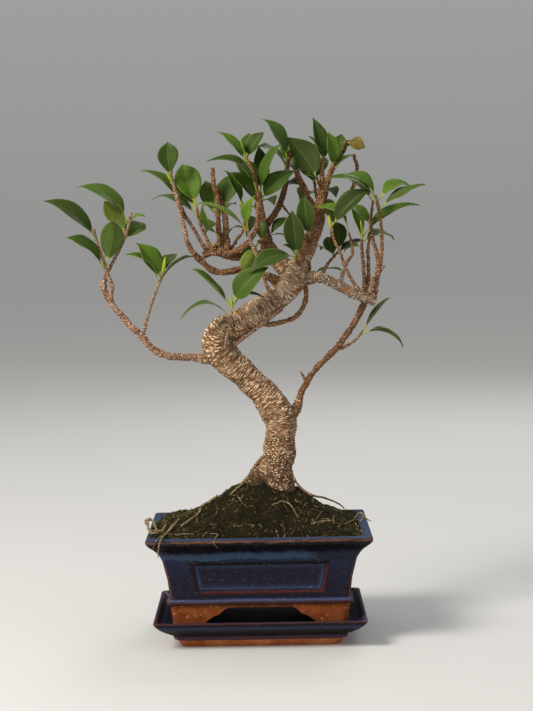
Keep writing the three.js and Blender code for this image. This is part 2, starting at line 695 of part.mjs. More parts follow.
/** The outline of a rounded rectangle at one height. */
function roundedRing(halfX, halfY, radius, z) {
  const ring = [];
  for (const [sx, sy, start] of [[1, 1, 0], [-1, 1, 1], [-1, -1, 2], [1, -1, 3]]) {
    for (let k = 0; k <= CORNER_STEPS; k += 1) {
      const angle = (start + k / CORNER_STEPS) * Math.PI / 2;
      const x = sx * (halfX - radius) + radius * Math.cos(angle);
      const y = sy * (halfY - radius) + radius * Math.sin(angle);
      ring.push(new THREE.Vector3(x, y, z));
    }
  }
  return ring;
}

/** A rectangular vessel's skin from a profile of [height, inset, corner radius]. */
function vessel(width, depth, profile) {
  return loft(profile.map(([z, inset, radius]) => (
    roundedRing(width / 2 - inset, depth / 2 - inset, radius, z)
  )));
}

/** A block with its underside at a height. */
function block(x, y, bottom, sizeX, sizeY, height) {
  const geometry = new THREE.BoxGeometry(sizeX, sizeY, height);
  return solid(geometry.translate(x, y, bottom + height / 2));
}

/** The tunnel that leaves an arch between two feet, along Y. */
function archTunnel([crown, step, floor], length) {
  const low = SAUCER_FLOOR - OVERSHOOT;
  const shape = new THREE.Shape();
  shape.moveTo(-floor, low);
  shape.lineTo(-floor, ARCH_TOE);
  shape.quadraticCurveTo(-floor, ARCH_STEP, -step, ARCH_STEP);
  shape.quadraticCurveTo(-crown - ARCH_EASE, POT_UNDERSIDE, -crown, POT_UNDERSIDE);
  shape.lineTo(crown, POT_UNDERSIDE);
  shape.quadraticCurveTo(crown + ARCH_EASE, POT_UNDERSIDE, step, ARCH_STEP);
  shape.quadraticCurveTo(floor, ARCH_STEP, floor, ARCH_TOE);
  shape.lineTo(floor, low);
  const options = { depth: length, bevelEnabled: false, curveSegments: ARCH_STEPS };
  const geometry = new THREE.ExtrudeGeometry(shape, options);
  return solid(geometry.rotateX(Math.PI / 2).translate(0, length / 2, 0));
}

/** How far the pot's wall stands in from its rim at a height. */
function potInset(z) {
  const k = POT_OUTSIDE.findIndex(([height]) => height >= z);
  const [z0, inset0] = POT_OUTSIDE[k - 1];
  const [z1, inset1] = POT_OUTSIDE[k];
  return inset0 + (inset1 - inset0) * (z - z0) / (z1 - z0);
}

/** The shallow wedge cut from one side of the pot for its panel, on the side that faces -Y. */
function panelCut([halfBottom, halfTop], distance) {
  const ring = (depth, spread) => [
    [-halfBottom - spread, PANEL_BOTTOM - spread],
    [halfBottom + spread, PANEL_BOTTOM - spread],
    [halfTop + spread, PANEL_TOP + spread],
    [-halfTop - spread, PANEL_TOP + spread],
  ].map(([x, z]) => new THREE.Vector3(x, potInset(z) - distance + depth, z));
  return loft([ring(-PANEL_REACH, (PANEL_REACH + PANEL_DEPTH) * PANEL_BEVEL), ring(PANEL_DEPTH, 0)]);
}

/** The pot: a lipped vessel with a moulding, four feet, four panels and two drainage holes. */
function pot() {
  const cutters = [
    vessel(POT_WIDTH, POT_DEPTH, POT_INSIDE),
    panelCut(PANEL_HALF_FRONT, POT_DEPTH / 2),
    panelCut(PANEL_HALF_FRONT, POT_DEPTH / 2).rotate([0, 0, 180]),
    panelCut(PANEL_HALF_SIDE, POT_WIDTH / 2).rotate([0, 0, 90]),
    panelCut(PANEL_HALF_SIDE, POT_WIDTH / 2).rotate([0, 0, 270]),
  ];
  for (const x of HOLE_PLACES) {
    const height = POT_FLOOR - POT_UNDERSIDE + 2 * OVERSHOOT;
    const hole = new THREE.CylinderGeometry(HOLE_RADIUS, HOLE_RADIUS, height, HOLE_SIDES);
    hole.rotateX(Math.PI / 2).translate(x, 0, (POT_FLOOR + POT_UNDERSIDE) / 2);
    cutters.push(solid(hole));
  }
  const feet = vessel(POT_WIDTH, POT_DEPTH, FOOT_OUTSIDE)
    .subtract(vessel(POT_WIDTH, POT_DEPTH, FOOT_INSIDE))
    .subtract(archTunnel(ARCH_FRONT, POT_DEPTH))
    .subtract(archTunnel(ARCH_SIDE, POT_WIDTH).rotate([0, 0, 90]));
  const body = vessel(POT_WIDTH, POT_DEPTH, POT_OUTSIDE).add(feet);
  return cutters.reduce((rest, cutter) => rest.subtract(cutter), body);
}

/** The saucer, with its low solid foot. */
function saucer() {
  const outside = vessel(SAUCER_WIDTH, SAUCER_DEPTH, SAUCER_OUTSIDE);
  return outside.subtract(vessel(SAUCER_WIDTH, SAUCER_DEPTH, SAUCER_INSIDE));
}

/** A square of stiff mesh over one drainage hole. */
function drainageScreen(x) {
  let screen = block(x, 0, POT_FLOOR + CLEARANCE, SCREEN_SIDE, SCREEN_SIDE, SCREEN_THICKNESS);
  for (let k = -2; k <= 2; k += 1) {
    const place = x + k * SCREEN_PITCH;
    const slot = block(place, 0, POT_FLOOR, SCREEN_SLOT, 2 * HOLE_RADIUS, 2 * SCREEN_THICKNESS);
    screen = screen.subtract(slot);
  }
  return screen;
}

/** The space that a mesh square leaves in the soil. */
function screenRoom(x) {
  const side = SCREEN_SIDE + 2 * CLEARANCE;
  return block(x, 0, POT_FLOOR, side, side, SCREEN_THICKNESS + 2 * CLEARANCE);
}

/** The height of the mossy ground at a place: a bulge with a mound, both nought at the walls. */
function groundTop(x, y) {
  const dx = (x - GROUND_MIDDLE[0]) / GROUND_SPREAD[0];
  const dy = (y - GROUND_MIDDLE[1]) / GROUND_SPREAD[1];
  const outX = Math.min(1, Math.abs(x) / (POT_WIDTH / 2 - MOSS_INSET));
  const outY = Math.min(1, Math.abs(y) / (POT_DEPTH / 2 - MOSS_INSET));
  const bulge = GROUND_BULGE * (1 - outX ** 12) * (1 - outY ** 12);
  const mound = GROUND_RISE * Math.exp(-(dx * dx + dy * dy) / 2) * (1 - outX ** 4) * (1 - outY ** 4);
  return GROUND_EDGE + bulge + mound;
}

/** Rings of a rounded rectangle that shrink to the middle, a given depth below the ground's top. */
function groundRings(inset, depth) {
  const edge = roundedRing(POT_WIDTH / 2 - inset, POT_DEPTH / 2 - inset, MOSS_CORNER, 0);
  return Array.from({ length: GROUND_RINGS }, (_, k) => {
    const part = 1 - k / GROUND_RINGS;
    return edge.map(({ x, y }) => (
      new THREE.Vector3(x * part, y * part, groundTop(x * part, y * part) - depth)
    ));
  });
}

/** The layer of moss over the soil. */
function moss() {
  return loft([...groundRings(MOSS_INSET, MOSS_THICKNESS).reverse(), ...groundRings(MOSS_INSET, 0)]);
}

/** The soil that fills the pot up to the moss. */
function soil() {
  const walls = POT_INSIDE.slice(0, -1).map(([z, inset, radius]) => (
    [Math.max(z, POT_FLOOR + CLEARANCE), inset + CLEARANCE, radius]
  )).map(([z, inset, radius]) => roundedRing(POT_WIDTH / 2 - inset, POT_DEPTH / 2 - inset, radius, z));
  const filled = loft([...walls, ...groundRings(MOSS_INSET + OVERSHOOT, MOSS_THICKNESS)]);
  return filled.subtract(moss().translate([0, 0, -CLEARANCE]));
}

/** Rings square to a path, which turn as little as they can from one to the next. */
function stemRings(path, sides, grow) {
  const spots = path.map(([x, y, z]) => new THREE.Vector3(x, y, z));
  const last = spots.length - 1;
  const tangents = spots.map((_, k) => (
    spots[Math.min(k + 1, last)].clone().sub(spots[Math.max(k - 1, 0)]).normalize()
  ));
  spots[0].addScaledVector(tangents[0], -grow);
  spots[last].addScaledVector(tangents[last], grow);
  const runsAlongY = Math.abs(tangents[0].y) > Math.SQRT1_2;
  const side = runsAlongY ? new THREE.Vector3(1, 0, 0) : new THREE.Vector3(0, 1, 0);
  return spots.map((spot, k) => {
    side.addScaledVector(tangents[k], -side.dot(tangents[k])).normalize();
    const across = new THREE.Vector3().crossVectors(tangents[k], side);
    const radius = path[k][3] + grow;
    return Array.from({ length: sides }, (_, i) => {
      const angle = i * 2 * Math.PI / sides;
      return spot.clone()
        .addScaledVector(side, radius * Math.cos(angle))
        .addScaledVector(across, radius * Math.sin(angle));
    });
  });
}

/** Tapered round stems along paths, grown together. */
function stems(paths, sides, grow = 0) {
  const each = paths.map((path) => loft(stemRings(path, sides, grow)));
  return each.reduce((a, b) => a.add(b));
}

/** A leaf with its stalk: folded along its midrib and arched along its length. */
function leaf([base, tip, width, facing, arch], grow = 0) {
  const start = new THREE.Vector3(...base);
  const chord = new THREE.Vector3(...tip).sub(start);
  const along = chord.clone().normalize();
  const up = new THREE.Vector3(...facing);
  up.addScaledVector(along, -up.dot(along)).normalize();
  const across = new THREE.Vector3().crossVectors(along, up);
  const stalkPart = 2 * PETIOLE_HALF / width;
  const rings = [[0, stalkPart], [PETIOLE_END, stalkPart], ...LEAF_OUTLINE].map(([t, part]) => {
    const rise = arch * chord.length() * 4 * t * (1 - t);
    const spot = start.clone().addScaledVector(chord, t).addScaledVector(up, rise);
    const half = part * width / 2 + grow;
    const thick = LEAF_HALF_THICKNESS * Math.min(1, 1 + LEAF_TAPER - t) + grow;
    const edge = Math.max(0, half - 2 * PETIOLE_HALF) * LEAF_FOLD;
    return [
      spot.clone().addScaledVector(across, -half).addScaledVector(up, edge),
      spot.clone().addScaledVector(up, thick),
      spot.clone().addScaledVector(across, half).addScaledVector(up, edge),
      spot.clone().addScaledVector(up, -thick),
    ];
  });
  return loft(rings);
}

/** A leafy shoot as one piece: its stems with their leaves. */
function shoot(plan, grow = 0) {
  const leaves = plan.leaves.map((shape) => leaf(shape, grow));
  return leaves.reduce((a, b) => a.add(b), stems(plan.stems, STEM_SIDES, grow));
}

/** What is left of a solid after cutters, without the crumbs that they cut off. */
function trimmed(shape, cutters) {
  const rest = cutters.reduce((a, b) => a.subtract(b), shape);
  return rest.decompose().reduce((a, b) => (a.volume() > b.volume() ? a : b));
}

/** A named mesh from a solid. */
function node(name, shape, material) {
  const mesh = shape.getMesh();
  const geometry = new THREE.BufferGeometry();
  geometry.setAttribute('position', new THREE.BufferAttribute(mesh.vertProperties, 3));
  geometry.setIndex(new THREE.BufferAttribute(mesh.triVerts, 1));
  const made = new THREE.Mesh(geometry, new THREE.MeshStandardMaterial(MATERIALS[material]));
  made.name = name;
  return made;
}

/** The pot, the saucer and what fills the pot. */
function vesselNodes(trunkRoom, rootRooms) {
  const [leftHole, rightHole] = HOLE_PLACES;
  return [
    node('saucer', saucer(), 'glaze'),
    node('pot', pot(), 'glaze'),
    node('drainage_screen_left', drainageScreen(leftHole), 'mesh'),
    node('drainage_screen_right', drainageScreen(rightHole), 'mesh'),
    node('soil', trimmed(soil(), [trunkRoom, ...HOLE_PLACES.map(screenRoom)]), 'soil'),
    node('moss', trimmed(moss(), [trunkRoom, ...rootRooms]), 'moss'),
  ];
}

/** The trunk with its own roots, at its real size or grown by a clearance. */
function trunk(grow = 0) {
  return stems([TRUNK_PATH], TRUNK_SIDES, grow).add(stems(TRUNK_ROOTS, WOOD_SIDES, grow));
}

/** The roots that lie on the moss and on the rim, each as one path. */
function surfaceRoots() {
  const roots = { root_corner: CORNER_ROOT };
  for (const [name, path] of Object.entries(GROUND_ROOTS)) {
    roots[name] = path.map(([x, y, over, radius]) => [x, y, groundTop(x, y) + over, radius]);
  }
  return roots;
}

/** Every piece, each one cut back where it meets the pieces that carry it. */
function buildBonsai() {
  const group = new THREE.Group();
  group.name = 'bonsai_in_pot';
  const trunkRoom = trunk(CLEARANCE);
  const roots = Object.entries(surfaceRoots());
  const rootRooms = roots.map(([, path]) => stems([path], WOOD_SIDES, CLEARANCE));
  group.add(...vesselNodes(trunkRoom, rootRooms), node('trunk', trunk(), 'bark'));
  for (const [name, path] of roots) {
    group.add(node(name, trimmed(stems([path], WOOD_SIDES), [trunkRoom]), 'root'));
  }
  const taken = [trunkRoom];
  for (const [name, paths] of Object.entries(WOOD)) {
    const material = name === 'aerial_root' ? 'root' : 'twig';
    group.add(node(name, trimmed(stems(paths, WOOD_SIDES), taken), material));
    taken.push(stems(paths, WOOD_SIDES, CLEARANCE));
  }
  for (const [name, plan] of Object.entries(SHOOTS)) {
    group.add(node(`shoot_${name}`, trimmed(shoot(plan), taken), 'leaf'));
    taken.push(shoot(plan, CLEARANCE));
  }
  return group;
}

export default buildBonsai();
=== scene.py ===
# %% [markdown]
# # A small fig tree in a glazed pot
# This lesson rebuilds a potted fig bonsai: a tree with a bent trunk, seven limbs and branches, an
# aerial root, thirty-two leafy shoots, a mound of moss with roots on it, a footed pot and its saucer.
# The frame is the plain CAD model. Each piece made here takes the place of the plain solid of the
# same name, so it has to lie where that solid lies.
#
# Lists are in millimetres, as a maker writes them down, and `MM` turns them into Blender's metres.

# %% Load the frame
import math

import bmesh
import bpy
import numpy as np
from mathutils import Matrix, Vector, noise
from mathutils.bvhtree import BVHTree


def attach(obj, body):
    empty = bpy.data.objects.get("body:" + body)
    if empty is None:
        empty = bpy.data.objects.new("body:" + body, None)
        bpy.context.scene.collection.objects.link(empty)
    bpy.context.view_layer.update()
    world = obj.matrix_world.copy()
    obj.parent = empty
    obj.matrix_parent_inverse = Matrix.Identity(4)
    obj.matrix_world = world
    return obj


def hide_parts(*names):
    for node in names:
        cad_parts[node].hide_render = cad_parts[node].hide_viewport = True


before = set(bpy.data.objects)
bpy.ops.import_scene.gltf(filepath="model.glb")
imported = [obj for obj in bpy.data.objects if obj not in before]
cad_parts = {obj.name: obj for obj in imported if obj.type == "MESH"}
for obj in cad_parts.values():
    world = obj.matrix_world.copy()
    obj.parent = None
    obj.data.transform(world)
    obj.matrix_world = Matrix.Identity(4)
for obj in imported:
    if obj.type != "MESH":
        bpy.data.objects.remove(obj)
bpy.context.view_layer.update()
MM = 0.001
bpy.ops.object.select_all(action="DESELECT")

# %% [markdown]
# ## The camera
# The picture was taken from a little above the pot, 1.6 m away, with a long lens. The place and the
# turn of the camera were worked out from the pot's corners. A camera looks along its own -Z, so its
# matrix holds the picture's right, the picture's up and the way back, in that order.

# %% Set up the camera
PICTURE_HEIGHT = 711
FOCAL_PIXELS = 1735.72
PICTURE_MIDDLE = (266.5, 355.5)
CAMERA_PLACE = Vector((8.43, -1575.62, 378.94)) * MM
PAN, TILT, ROLL = (math.radians(a) for a in (0.025, -4.4528, -0.9268))

ahead = Vector((math.sin(PAN) * math.cos(TILT), math.cos(PAN) * math.cos(TILT), math.sin(TILT)))
level = Vector((math.cos(PAN), -math.sin(PAN), 0))
upright = level.cross(ahead)
right = math.cos(ROLL) * level + math.sin(ROLL) * upright
up = math.cos(ROLL) * upright - math.sin(ROLL) * level

bpy.ops.object.camera_add()
camera = bpy.context.object
turn = Matrix((right, up, -ahead)).transposed()
camera.matrix_world = Matrix.Translation(CAMERA_PLACE) @ turn.to_4x4()
camera.data.sensor_width = 36
camera.data.lens = FOCAL_PIXELS * camera.data.sensor_width / PICTURE_HEIGHT
bpy.context.scene.camera = camera
print("lens", round(camera.data.lens, 2), "mm")


# %% A ray through a point of the picture
def ray(px, py):
    """The way from the camera through a point of the picture, counted in pixels from its top left."""
    across, down = px - PICTURE_MIDDLE[0], py - PICTURE_MIDDLE[1]
    return (ahead * FOCAL_PIXELS + right * across - up * down).normalized()


print("the pot's left lip corner lies along", [round(v, 3) for v in ray(145, 545)])

# %% [markdown]
# ## Floor and light
# The object stands on a plain pale floor. One large soft lamp from the upper left gives the trunk
# its light and dark side, as in the picture, a weak one from the right opens the shadows, and one
# from behind puts an edge of light on leaves and glaze.


# %% Floor, sky and lamps
def lamp(name, place, size, power, warmth):
    """A square soft lamp that looks at the middle of the tree."""
    bpy.ops.object.light_add(type="AREA", location=place)
    light = bpy.context.object
    light.name = name
    light.rotation_euler = (Vector((0, 0, 0.23)) - Vector(place)).to_track_quat("-Z", "Y").to_euler()
    light.data.size = size
    light.data.energy = power
    light.data.color = warmth


bpy.ops.mesh.primitive_plane_add(size=60)
floor = bpy.context.object
floor.name = "floor"
paper = bpy.data.materials.new("pale_paper")
paper.use_nodes = True
sheet = paper.node_tree.nodes["Principled BSDF"].inputs
sheet["Base Color"].default_value, sheet["Roughness"].default_value = (0.583, 0.58, 0.572, 1), 0.9
floor.data.materials.append(paper)

sky = bpy.data.worlds.new("soft_sky")
sky.use_nodes = True
dome = sky.node_tree
height = dome.nodes.new("ShaderNodeSeparateXYZ")
dome.links.new(dome.nodes.new("ShaderNodeTexCoord").outputs["Generated"], height.inputs[0])
brightness = dome.nodes.new("ShaderNodeMapRange")
dome.links.new(height.outputs["Z"], brightness.inputs[0])
for socket, value in ((1, 0.0), (2, 0.5), (3, 0.356), (4, 0.6)):
    brightness.inputs[socket].default_value = value
dome.links.new(brightness.outputs[0], dome.nodes["Background"].inputs["Strength"])
dome.nodes["Background"].inputs["Color"].default_value = (0.83, 0.83, 0.82, 1)
bpy.context.scene.world = sky
bpy.context.scene.view_settings.view_transform = "Standard"

lamp("key", (-1.5, -1.2, 1.7), 0.8, 74, (1.0, 0.95, 0.88))
lamp("fill", (1.8, -1.2, 0.7), 1.2, 4, (0.9, 0.95, 1.0))
lamp("rim", (0.7, 1.7, 1.5), 0.9, 11, (1.0, 1.0, 1.0))

# %% [markdown]
# ## Working as by hand
# A Blender operator acts on whatever is selected. These few helpers take one piece in hand, select
# its faces, edges or points by a test on their place, and give it a modifier for good. Others start a
# piece from a primitive, and stretch and move what is picked.


# %% Take a piece, pick its parts, finish it
def take(piece, mode="OBJECT"):
    """Make one piece the only selected one, in object or edit mode."""
    if bpy.context.object and bpy.context.object.mode != "OBJECT":
        bpy.ops.object.mode_set(mode="OBJECT")
    bpy.ops.object.select_all(action="DESELECT")
    piece.select_set(True)
    bpy.context.view_layer.objects.active = piece
    bpy.ops.object.mode_set(mode=mode)


def start(add_primitive, **settings):
    """Begin a piece from a primitive, in edit mode."""
    bpy.ops.object.select_all(action="DESELECT")
    add_primitive(enter_editmode=True, **settings)
    return bpy.context.object


def resize(*shares):
    bpy.ops.transform.resize(value=shares)


def move(*way):
    bpy.ops.transform.translate(value=way)


def pick(kind, test):
    """In edit mode, select the VERT, EDGE or FACE parts that pass a test, and count them."""
    bpy.ops.mesh.select_mode(type=kind)
    bpy.ops.mesh.select_all(action="DESELECT")
    cage = bmesh.from_edit_mesh(bpy.context.object.data)
    parts = {"VERT": cage.verts, "EDGE": cage.edges, "FACE": cage.faces}[kind]
    chosen = [part for part in parts if test(part)]
    for part in chosen:
        part.select_set(True)
    bmesh.update_edit_mesh(bpy.context.object.data)
    return len(chosen)


def give(piece, modifier, **settings):
    """Put a modifier on a piece and apply it."""
    take(piece)
    bpy.ops.object.modifier_add(type=modifier)
    tool = piece.modifiers[-1]
    for setting, value in settings.items():
        setattr(tool, setting, value)
    bpy.ops.object.modifier_apply(modifier=tool.name)


def throw_away(*pieces):
    for piece in pieces:
        take(piece)
        bpy.ops.object.delete()


def cut_away(piece, cutter):
    """Cut one closed shape out of another, and throw the cutter away."""
    give(piece, "BOOLEAN", operation="DIFFERENCE", solver="EXACT", object=cutter)
    throw_away(cutter)


def close_up(piece):
    """Merge doubled points and turn all faces outwards."""
    take(piece, "EDIT")
    bpy.ops.mesh.select_all(action="SELECT")
    bpy.ops.mesh.remove_doubles(threshold=0.002 * MM)
    bpy.ops.mesh.normals_make_consistent(inside=False)
    take(piece)


def hand_in(piece, name, nodes, material):
    """Name a finished piece, give it its finish, and let it stand for plain nodes."""
    take(piece)
    bpy.ops.object.transform_apply(location=True, rotation=True, scale=True)
    piece.name = piece.data.name = name
    piece.data.materials.clear()
    piece.data.materials.append(material)
    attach(piece, "root")
    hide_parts(*nodes)
    print(f"{name}: {len(piece.data.polygons)} faces, {len(piece.data.vertices)} points")


print("helpers ready")

# %% [markdown]
# ## Working with material nodes
# A finish is a chain of nodes: something that varies from place to place, a ramp that turns it into
# colours, and the shader. `Palette` keeps one material's tree and adds nodes in one line each. Its
# `over` lays one colour over another, which is what most of a finish is made of.


# %% A palette for node finishes
def tint(code):
    """A colour as in a paint shop, six hex digits, turned into the linear light that shaders use."""
    parts = [int(code[k:k + 2], 16) / 255 for k in (0, 2, 4)]
    return tuple(p / 12.92 if p <= 0.04045 else ((p + 0.055) / 1.055) ** 2.4 for p in parts) + (1,)


class Palette:
    def __init__(self, name, **skin):
        self.material = bpy.data.materials.new(name)
        self.material.use_nodes = True
        self.tree = self.material.node_tree
        self.skin = self.tree.nodes["Principled BSDF"].inputs
        for socket, value in skin.items():
            self.skin[socket.replace("_", " ")].default_value = value

    def feed(self, socket, source):
        """Link a source to a socket, or set the socket's own value."""
        if isinstance(source, bpy.types.NodeSocket):
            self.tree.links.new(source, socket)
        else:
            socket.default_value = source

    def add(self, kind, out, sources=(), **settings):
        """Add a node with its settings, feed its sockets, and return one output, or a slice of them."""
        node = self.tree.nodes.new("ShaderNode" + kind)
        for setting, value in settings.items():
            setattr(node, setting, value)
        for socket, source in dict(sources).items():
            self.feed(node.inputs[socket], source)
        return node.outputs[out]

    def place(self):
        """Where a point is on the piece, in metres."""
        return self.add("TexCoord", "Object")

    def axes(self, vector):
        return self.add("SeparateXYZ", slice(3), {0: vector})

    def stored(self, name, out="Fac"):
        """A value that was stored at the piece's points."""
        return self.add("Attribute", out, attribute_name=name)

    def stretch(self, vector, x, y, z):
        return self.add("VectorMath", 0, {0: vector, 1: (x, y, z)}, operation="MULTIPLY")

    def grain(self, vector, scale, detail=3.0, roughness=0.55, out="Fac"):
        sources = {"Vector": vector, "Scale": scale, "Detail": detail, "Roughness": roughness}
        return self.add("TexNoise", out, sources)

    def cells(self, vector, scale=1.0, out="Distance", **settings):
        return self.add("TexVoronoi", out, {"Vector": vector, "Scale": scale}, **settings)

    def maths(self, operation, first, *others):
        """One operation over all values, from left to right."""
        for other in others or (0.0,):
            first = self.add("Math", 0, {0: first, 1: other}, operation=operation)
        return first

    def plus(self, *values):
        return self.maths("ADD", *values)

    def times(self, *values):
        return self.maths("MULTIPLY", *values)

    def sway(self, noise_value, amount=1.0):
        """A noise swung about nought, times an amount."""
        return self.times(self.maths("SUBTRACT", noise_value, 0.5), amount)

    def rest(self, share, amount):
        """What is left of one after a share times an amount."""
        return self.maths("SUBTRACT", 1, self.times(share, amount))

    def fade(self, value, start, end):
        """0 at start, 1 at end, and smooth between them."""
        return self.add("MapRange", 0, {0: value, 1: start, 2: end}, interpolation_type="SMOOTHSTEP")

    def remap(self, value, low, high):
        return self.add("MapRange", 0, {0: value, 3: low, 4: high})

    def choose(self, share, a, b):
        return self.add("Mix", 0, {0: share, 2: a, 3: b})

    def ramp(self, value, stops):
        """Turn a value into a colour by (place, hex colour) stops."""
        node = self.tree.nodes.new("ShaderNodeValToRGB")
        band = node.color_ramp.elements
        while len(band) < len(stops):
            band.new(0.5)
        for element, (spot, code) in zip(band, stops):
            element.position, element.color = spot, tint(code)
        self.feed(node.inputs[0], value)
        return node.outputs["Color"]

    def blend(self, share, a, b):
        a, b = (tint(c) if isinstance(c, str) else c for c in (a, b))
        return self.add("Mix", 2, {0: share, 6: a, 7: b}, data_type="RGBA")

    def over(self, colour, share, coat, amount):
        """Lay a coat over a colour, as thick as a share times an amount."""
        return self.blend(self.times(share, amount), colour, coat)

    def paint(self, colour, roughness=None, height=None, depth=0.0002):
        """Finish the shader: colour, roughness, and a height in units of depth metres."""
        self.feed(self.skin["Base Color"], colour)
        if roughness is not None:
            self.feed(self.skin["Roughness"], roughness)
        if height is not None:
            self.feed(self.skin["Normal"], self.add("Bump", 0, {"Height": height, "Distance": depth}))
        return self.material


print("tan is", [round(v, 3) for v in tint("a08468")])

# %% [markdown]
# ## The pot and the saucer
# Both were pressed from clay, so their walls have one profile all the way round and rounded corners.
# A lathe or an extruded box wouldn't do: the corners grow tighter towards the rim, and the mouth is
# much rounder than the outside. So the wall is laid up as a potter lays coils: ring upon ring, each a
# plane with its corners bevelled, and each bridged to the ring before it.
#
# A ring is written as height, how far it stands in from the widest edge, and the corner's radius.

# %% The profiles
POT_SIZE = (200, 150)
POT_PROFILE = [
    (35.6, 31, 4), (18.2, 31, 4), (17.5, 30.6, 4), (17.3, 30, 4), (17.4, 23.6, 5), (17.7, 23, 5),
    (18.3, 22.8, 5), (39, 19.6, 5), (39.1, 18.1, 5), (39.4, 17.4, 5), (40, 17.1, 5), (42.3, 17.1, 5),
    (43.4, 17.4, 5), (44.2, 18.1, 5), (44.9, 19.1, 5), (46, 19.7, 5), (48, 19.4, 5), (62, 17.7, 5),
    (79.5, 13.8, 4.3),
    (81, 13.2, 4), (83.5, 12, 4), (86, 10.5, 3.8), (88.3, 8.8, 3.6), (90.4, 6.8, 3.4), (92.3, 4.7, 3.2),
    (94, 2.8, 3), (95.5, 1.4, 3), (96.6, 0.6, 3), (97.4, 0.2, 3), (98.2, 0, 3), (99.6, 0, 3),
    (100.4, 0.3, 3), (100.9, 1, 3), (101, 2, 3.5), (101.1, 5, 8), (101, 7.2, 12), (100.7, 8.2, 12),
    (100, 8.8, 12), (98.8, 9.2, 12), (90, 12.7, 12), (79, 19.2, 12), (63, 24.2, 11), (48, 25.7, 10),
    (44, 27, 10), (43, 30, 8),
]
SAUCER_SIZE = (190, 142)
SAUCER_PROFILE = [
    (0, 25, 10), (0, 23.9, 10), (0.4, 23.1, 10), (1.2, 22.7, 10), (5.6, 20.3, 10), (6.3, 19.4, 9.5),
    (6.5, 18.3, 9), (7, 17.6, 8.5), (8, 17.2, 8), (10.2, 16.7, 8), (11, 16, 7.5), (12, 14.2, 7),
    (13.6, 11.6, 6.5), (15.6, 8.6, 6), (17.6, 5.9, 5.5), (19.4, 3.9, 5), (21.2, 2.3, 4.5),
    (23, 1.1, 4), (24.2, 0.4, 4), (24.9, 0.1, 4), (25.4, 0.2, 4), (25.8, 0.7, 4), (26, 1.4, 4),
    (25.9, 2.4, 4), (25.4, 3.1, 4.4), (24.6, 3.7, 5), (23, 5, 6), (20.6, 7.6, 7), (18.6, 10.2, 7.5),
    (17.4, 12.4, 8), (17, 15, 8),
]
CORNER_CUTS = 7
print(len(POT_PROFILE), "rings for the pot,", len(SAUCER_PROFILE), "for the saucer")


# %% Lay up a vessel ring by ring
def coil(half_x, half_y, radius, z):
    """In edit mode, turn a new plane into a ring: rounded corners, and only its edges kept."""
    resize(half_x * MM, half_y * MM, 1)
    move(0, 0, z * MM)
    bpy.ops.mesh.bevel(offset=radius * MM, segments=CORNER_CUTS, affect="VERTICES")
    bpy.ops.mesh.delete(type="ONLY_FACE")


def lies_on(edge, ring):
    """Whether both ends of an edge are on the outline of a ring."""
    half_x, half_y, radius, z = ring
    for point in edge.verts:
        over_x, over_y = (abs(point.co[k]) / MM - half + radius for k, half in enumerate((half_x, half_y)))
        reach = math.hypot(max(over_x, 0), max(over_y, 0)) + min(max(over_x, over_y), 0)
        if abs(point.co.z / MM - z) >= 0.02 or abs(reach - radius) >= 0.02:
            return False
    return True


def lay_up(size, profile):
    """Bridge ring after ring of a profile, and fill the first and the last."""
    rings = [(size[0] / 2 - inset, size[1] / 2 - inset, radius, z) for z, inset, radius in profile]
    vessel = start(bpy.ops.mesh.primitive_plane_add, size=2)
    coil(*rings[0])
    for before, ring in zip(rings, rings[1:]):
        bpy.ops.mesh.primitive_plane_add(size=2)
        coil(*ring)
        pick("EDGE", lambda edge: lies_on(edge, before) or lies_on(edge, ring))
        bpy.ops.mesh.bridge_edge_loops()
    for ring in (rings[0], rings[-1]):
        pick("EDGE", lambda edge: lies_on(edge, ring))
        bpy.ops.mesh.edge_face_add()
    close_up(vessel)
    return vessel


pot = lay_up(POT_SIZE, POT_PROFILE)
saucer = lay_up(SAUCER_SIZE, SAUCER_PROFILE)
print("pot", len(pot.data.polygons), "faces, saucer", len(saucer.data.polygons))

# %% [markdown]
# ### The recessed panels
# Each side of the pot has a shallow framed panel, wider at its top. Two slanted bisecting cuts mark
# its ends on the wall, and rings of the profile mark its top and bottom. A row of insets then sinks
# it with a soft edge. Each inset writes its number at its points, as `panel`, so that the glaze can
# break to rust on the edge and pool blue at the foot of the slope.

# %% Mark and sink the panels
PANEL_BOTTOM, PANEL_TOP = 48, 79.5
PANEL_RISE = PANEL_TOP - PANEL_BOTTOM
# for the panels along x and along y: half width at the bottom and at the top, and how far out the wall is
PANEL_SIDES = ((57.5, 63.5, 52), (32.5, 38.5, 77))
PANEL_STEPS = [  # how wide, how much deeper, and the number stored
    (0.5, 0.16, 0.5), (1.0, 0.1, 0.8), (0.9, -0.22, 1.1), (0.8, -0.6, 1.4), (0.9, -0.7, 1.7),
    (0.8, -0.34, 2.0), (0.9, -0.08, 2.3), (2.0, -0.02, 2.7), (2.0, 0.0, 3.0),
]


def on_panel(face):
    """Whether a face of the wall lies within its side's panel."""
    spot = face.calc_center_median() / MM
    share = (spot.z - PANEL_BOTTOM) / PANEL_RISE
    if face.normal.xy.dot(spot.xy) <= 0 or not 0 < share < 1 or abs(face.normal.z) > 0.6:
        return False
    return any(abs(spot[1 - axis]) > wall and abs(spot[axis]) < bottom + (top - bottom) * share
               for axis, (bottom, top, wall) in enumerate(PANEL_SIDES))


def on_wall(face, axis, wall, margin=1.5):
    """Whether a face belongs to the outer walls that look along an axis, near the panel's height."""
    spot = face.calc_center_median()
    return (PANEL_BOTTOM - margin < spot.z / MM < PANEL_TOP + margin and abs(spot[axis]) / MM > wall
            and face.normal[axis] * spot[axis] > 0.8 * wall * MM)


